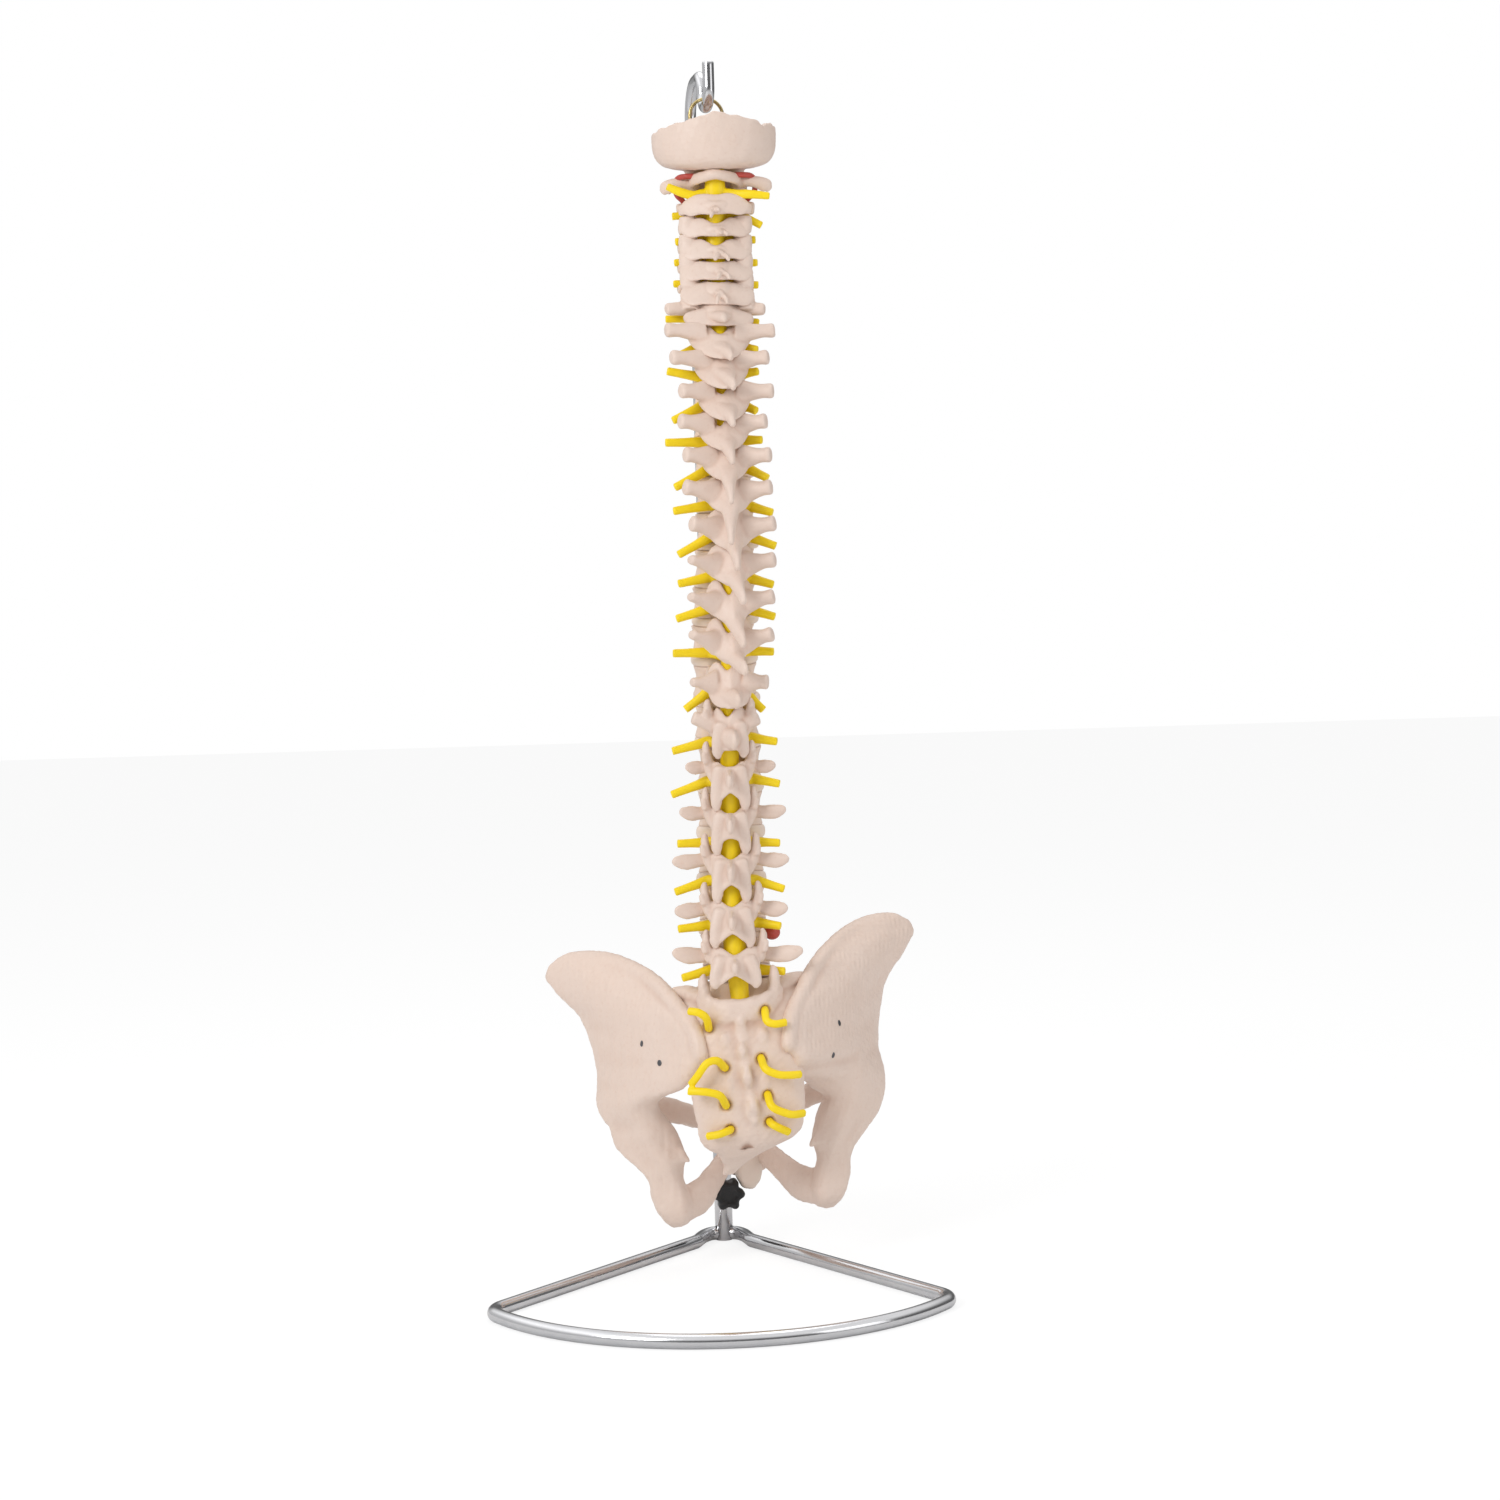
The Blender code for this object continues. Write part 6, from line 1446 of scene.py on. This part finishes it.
class SPINE_OT_stand(bpy.types.Operator):
    """The floor loop, its sleeve and the welds between them"""

    bl_idname = "spine.stand"
    bl_label = "Stand"

    def execute(self, context):
        skins = [pipe(base_path(), TUBE, around=32)]
        skins.append(turned((
            (6.1, 0.0), (SLEEVE_RADIUS, 0.3), (SLEEVE_RADIUS, SLEEVE_TOP - 0.5),
            (SLEEVE_RADIUS - 0.3, SLEEVE_TOP), (4.5, SLEEVE_TOP), (4.3, SLEEVE_TOP - 0.3),
            (4.3, SLEEVE_TOP - 12),
        ), 64))
        skins += moved(knob_frame(), [turned(((5.0, 5.0), (5.0, 11.6), (4.6, 12.0)), 6)])
        for side in (-1, 1):
            bead = [
                (side * 5.6, -4.4, 2.0), (side * 7.4, -1.6, 3.2), (side * 7.6, -0.6, 6.0),
                (side * 6.8, -1.4, 8.4), (side * 5.4, -3.6, 9.6),
            ]
            way = spline(np.array(bead), np.linspace(0, 4, 25))
            thick = 1.0 + 0.15 * np.sin(np.arange(25) * 1.7)
            skins.append(pipe(way, thick, around=12, flat=FORWARD))
        mesh = Mesher.mesh("stand", skins)
        Mesher.show("stand-base", mesh, finish_of("chrome"), "stand", "stand_base", slot="chrome", sharp=40)
        return {"FINISHED"}


class SPINE_OT_mast(bpy.types.Operator):
    """The rod: up, over in a bend, down into a dip and up to its rounded tip"""

    bl_idname = "spine.mast"
    bl_label = "Mast and hook"

    def execute(self, context):
        out = np.array((math.sin(HOOK_TURN), -math.cos(HOOK_TURN), 0.0))
        shoulder = out * BEND + UP * (HOOK_TOP - BEND)
        dip = out * HOOK_REACH + UP * (DIP_Z + DIP_RADIUS)
        drop = HOOK_TOP - dip[2]
        turn = out * (HOOK_REACH - DIP_RADIUS - drop) + UP * dip[2]
        end = dip + out * DIP_RADIUS
        points = np.concatenate([
            np.linspace((0, 0, 3.8), (0, 0, HOOK_TOP - BEND - 4), 30),
            arc_rows(shoulder, BEND, math.pi, math.pi / 2, 20, out, UP),
            arc_rows(turn, drop, math.pi / 2, 0, 14, out, UP),
            arc_rows(dip, DIP_RADIUS, math.pi, 2 * math.pi, 24, out, UP)[1:],
            np.linspace(end + UP * 2, end + UP * (TIP_Z - dip[2] - 1.0), 8),
            [end + UP * (TIP_Z - dip[2] - 0.3), end + UP * (TIP_Z - dip[2])],
        ])
        radius = np.full(len(points), ROD)
        radius[-2:] = ROD - 0.25, ROD - 0.9
        radius[0] = ROD - 0.5
        mesh = Mesher.mesh("mast", [pipe(points, radius, around=40, flat=np.cross(out, UP))])
        Mesher.show("mast-hook", mesh, finish_of("chrome"), "mast", "mast", slot="chrome", sharp=50)
        return {"FINISHED"}


class SPINE_OT_wire_loop(bpy.types.Operator):
    """The brass wire that hangs over the hook, and the spring cable that threads the column"""

    bl_idname = "spine.wire_loop"
    bl_label = "Loop and cable"

    def execute(self, context):
        across = np.array((math.cos(HOOK_TURN), math.sin(HOOK_TURN), 0.0))
        out = np.array((math.sin(HOOK_TURN), -math.cos(HOOK_TURN), 0.0))
        top = DIP_Z + ROD + LOOP_PLAY + WIRE
        centre = out * HOOK_REACH + UP * (top - LOOP_RADIUS)
        bend = arc_rows(centre, LOOP_RADIUS, math.pi, 0, 32, across, UP)
        foot = UP * (LOOP_FOOT - centre[2])
        left, right = np.linspace(bend[0] + foot, bend[0], 10), np.linspace(bend[-1], bend[-1] + foot, 10)
        points = np.concatenate([left[:-1], bend, right[1:]])
        mesh = Mesher.mesh("wire", [pipe(points, WIRE, around=20, flat=out)])
        Mesher.show("hanging-wire", mesh, finish_of("wire"), "mast", "hanging_loop", slot="brass")
        rises = [CABLE_LOW] + [gap_below(name) for name in LEVELS] + [rise_of("C1")]
        line = [column_frame(rise)[:3, 3] for rise in rises]
        line[-1] = np.array((line[-1][0], line[-1][1], CABLE_TOP))
        rows = np.array([(*point, CABLE, CABLE) for point in line])
        mesh = Mesher.mesh("cable", [strand(rows, flat=FORWARD, around=16, fine=4, rounded=False)])
        Mesher.show("spring-cable", mesh, finish_of("cable"), "mast", "flexible_core", slot="steel")
        return {"FINISHED"}


class SPINE_OT_knob(bpy.types.Operator):
    """The star knob: six lobes round radius 10.3, rounded over at both faces, on its hub and threaded stud"""

    bl_idname = "spine.knob"
    bl_label = "Clamp knob"

    def execute(self, context):
        around = 144
        angle = round_angles(around, 0.0)
        rings = []
        for height, reach, lobe in (
            (16.5, 5.6, 0.0), (16.9, 6.0, 0.0), (22.6, 6.2, 0.0), (23.0, 7.6, 0.5), (23.3, 9.2, 1.0),
            (24.0, 10.0, 1.3), (25.2, 10.3, 1.4), (33.0, 10.3, 1.4), (34.4, 9.9, 1.3), (35.4, 9.0, 1.1),
            (36.0, 7.4, 0.7), (35.9, 6.2, 0.3), (35.2, 5.6, 0.0), (35.0, 3.0, 0.0), (35.1, 0.3, 0.0),
        ):
            rim = reach + lobe * np.sign(np.cos(6 * angle)) * np.abs(np.cos(6 * angle)) ** 0.8
            rings.append(np.stack([rim * np.cos(angle), rim * np.sin(angle), np.full(around, height)], 1))
        mesh = Mesher.mesh("knob", moved(knob_frame(), [skin(np.array(rings))]))
        Mesher.show(
            "clamp-knob", mesh, finish_of("knob"), "clamp", "clamp_knob", slot="black_plastic", sharp=60,
        )
        steps, turns = 24, 15
        height = np.linspace(4.4, 17.0, steps * turns)
        ring = round_angles(24, 0.0)
        phase = height[:, None] / THREAD_PITCH * 2 * np.pi - ring[None, :]
        reach = THREAD_RADIUS + THREAD_DEPTH * np.cos(phase)
        rings = np.stack(
            [reach * np.cos(ring), reach * np.sin(ring), np.broadcast_to(height[:, None], reach.shape)], -1,
        )
        mesh = Mesher.mesh("stud", moved(knob_frame(), [skin(rings)]))
        Mesher.show("clamp-stud", mesh, finish_of("chrome"), "clamp", slot="chrome")
        return {"FINISHED"}


# Each sunk screw: its bone, place aside and up on the pelvis, and how wide its head shows
SCREWS = (
    ("hip_left", -68.5, -35, 0.55), ("hip_left", -57.5, -47.5, 1.0), ("hip_right", 67, -38, 0.6),
    ("hip_right", 60.5, -57.5, 0.55),
)


class SPINE_OT_screws(bpy.types.Operator):
    """The sunk screws that hold the hip bones to the sacrum"""

    bl_idname = "spine.screws"
    bl_label = "Screws"

    def execute(self, context):
        pelvis = pelvis_frame()
        for number, (label, x, z, wide) in enumerate(SCREWS):
            bone = bpy.data.objects["bone-" + label]
            start = Vector(placed(pelvis, (x, -90, z)) * MM)
            hit, spot, normal, _ = bone.ray_cast(start, Vector(pelvis[:3, :3] @ (0, 1.0, 0)))
            if not hit:
                raise RuntimeError("screw %d has no bone behind it" % number)
            out = np.array(normal)
            aside = unit(np.cross(out, UP))
            rise = np.cross(aside, out)
            points, quads, caps = turned(((2.1, -1.8), (2.1, 0.25), (1.8, 0.5), (0.9, 0.15)), 24)
            flat = np.outer(points[:, 0] * wide, aside) + np.outer(points[:, 1], rise)
            points = flat + np.outer(points[:, 2], out) + np.array(spot) / MM
            mesh = Mesher.mesh("screw", [(points, quads, caps)])
            Mesher.show("screw-%d" % (number + 1), mesh, finish_of("screw"), "mast", slot="steel")
        return {"FINISHED"}


LENS, SENSOR = 67.2, 36.0
CAMERA_PLACE, CAMERA_ROLL, CAMERA_PITCH = (0.02894, -2.0, 0.451), -math.radians(1.7), math.atan(138 / 2800)
LAMP_AIM = (0.015, -0.08, 0.42)
FLOOR = ((-6, -4, 0), (6, -4, 0), (6, 8, 0), (-6, 8, 0))


class SPINE_OT_stage(bpy.types.Operator):
    """The pale floor, the soft lamps, the surround and the camera at the photograph's angle"""

    bl_idname = "spine.stage"
    bl_label = "Stage"

    def execute(self, context):
        scene, looks = context.scene, context.scene.spine_looks
        mesh = bpy.data.meshes.new("floor")
        mesh.from_pydata(FLOOR, [], [(0, 1, 2, 3)])
        floor = bpy.data.objects.new("floor", mesh)
        scene.collection.objects.link(floor)
        material = bpy.data.materials.new("pale floor")
        material.use_nodes = True
        tree = material.node_tree
        tree.nodes.clear()
        ray = tree.nodes.new("ShaderNodeLightPath")
        matt, glow = tree.nodes.new("ShaderNodeBsdfDiffuse"), tree.nodes.new("ShaderNodeEmission")
        matt.inputs["Color"].default_value = (0.9, 0.9, 0.9, 1)
        glow.inputs["Color"].default_value, glow.inputs["Strength"].default_value = (1, 1, 1, 1), 1.1
        share = Socket(tree, ray.outputs["Is Camera Ray"]) * 0.72
        mix, out = tree.nodes.new("ShaderNodeMixShader"), tree.nodes.new("ShaderNodeOutputMaterial")
        tree.links.new(share.socket, mix.inputs[0])
        tree.links.new(matt.outputs[0], mix.inputs[1])
        tree.links.new(glow.outputs[0], mix.inputs[2])
        tree.links.new(mix.outputs[0], out.inputs[0])
        mesh.materials.append(material)

        world = bpy.data.worlds.new("surround")
        scene.world = world
        world.use_nodes = True
        tree = world.node_tree
        tree.nodes.clear()
        ray = tree.nodes.new("ShaderNodeLightPath")
        camera_ray = Socket(tree, ray.outputs["Is Camera Ray"])
        glossy = Socket(tree, ray.outputs["Is Glossy Ray"])
        way = tree.nodes.new("ShaderNodeTexCoord")
        split = tree.nodes.new("ShaderNodeSeparateXYZ")
        tree.links.new(way.outputs["Generated"], split.inputs[0])
        height = Socket(tree, split.outputs[2])
        aside = Socket(tree, split.outputs[0])
        panel = ((aside * -1.0 - 0.3) * 3.0).clamp(0.0, 1.0)
        seen = 0.16 + ((height - 0.30) * 3.0).clamp(0.0, 1.0) * 0.9 + panel * 0.55
        strength = camera_ray + (1 - camera_ray) * (looks.sky * (1 - glossy) + glossy * seen)
        glow, out = tree.nodes.new("ShaderNodeBackground"), tree.nodes.new("ShaderNodeOutputWorld")
        tree.links.new(strength.socket, glow.inputs["Strength"])
        tree.links.new(glow.outputs[0], out.inputs[0])
        glow.inputs["Color"].default_value = (1, 1, 1, 1)

        for label, place, size, power in (
            ("key", (-1.5, -1.9, 1.5), 1.1, looks.key), ("fill", (1.9, -1.3, 0.9), 1.3, looks.fill),
            ("top", (0.1, 0.5, 2.2), 1.2, looks.fill),
        ):
            lamp = bpy.data.lights.new(label, "AREA")
            lamp.size, lamp.energy = size, power
            obj = bpy.data.objects.new(label, lamp)
            obj.location = place
            aim = Vector(LAMP_AIM) - Vector(place)
            obj.rotation_euler = aim.to_track_quat("-Z", "Y").to_euler()
            scene.collection.objects.link(obj)

        camera = bpy.data.cameras.new("camera")
        camera.lens, camera.sensor_width = LENS, SENSOR
        camera.clip_end = 100
        obj = bpy.data.objects.new("camera", camera)
        scene.collection.objects.link(obj)
        turn = Matrix.Rotation(math.pi / 2 - CAMERA_PITCH, 4, "X") @ Matrix.Rotation(CAMERA_ROLL, 4, "Z")
        obj.matrix_world = Matrix.Translation(CAMERA_PLACE) @ turn
        scene.camera = obj
        scene.view_settings.view_transform = "Standard"
        return {"FINISHED"}


class SPINE_PT_panel(bpy.types.Panel):
    """Lists the pieces and the looks in the 3D view's sidebar"""

    bl_idname = "SPINE_PT_panel"
    bl_label = "Spine model"
    bl_space_type = "VIEW_3D"
    bl_region_type = "UI"
    bl_category = "Spine"

    def draw(self, context):
        for name in SpineLooks.__annotations__:
            self.layout.prop(context.scene.spine_looks, name)
        for operator in OPERATORS:
            self.layout.operator(operator.bl_idname)


OPERATORS = (
    SPINE_OT_stage, SPINE_OT_stand, SPINE_OT_mast, SPINE_OT_knob, SPINE_OT_wire_loop, SPINE_OT_skull,
    SPINE_OT_vertebrae, SPINE_OT_discs, SPINE_OT_cord, SPINE_OT_vessels, SPINE_OT_sacrum, SPINE_OT_hips,
    SPINE_OT_front_joint, SPINE_OT_screws,
)
CLASSES = (SpineLooks, *OPERATORS, SPINE_PT_panel)


def register():
    for cls in CLASSES:
        bpy.utils.register_class(cls)
    bpy.types.Scene.spine_looks = bpy.props.PointerProperty(type=SpineLooks)


def unregister():
    del bpy.types.Scene.spine_looks
    for cls in reversed(CLASSES):
        bpy.utils.unregister_class(cls)


def main():
    register()
    for operator in OPERATORS:
        group, name = operator.bl_idname.split(".")
        getattr(getattr(bpy.ops, group), name)()


if __name__ == "__main__":
    main()
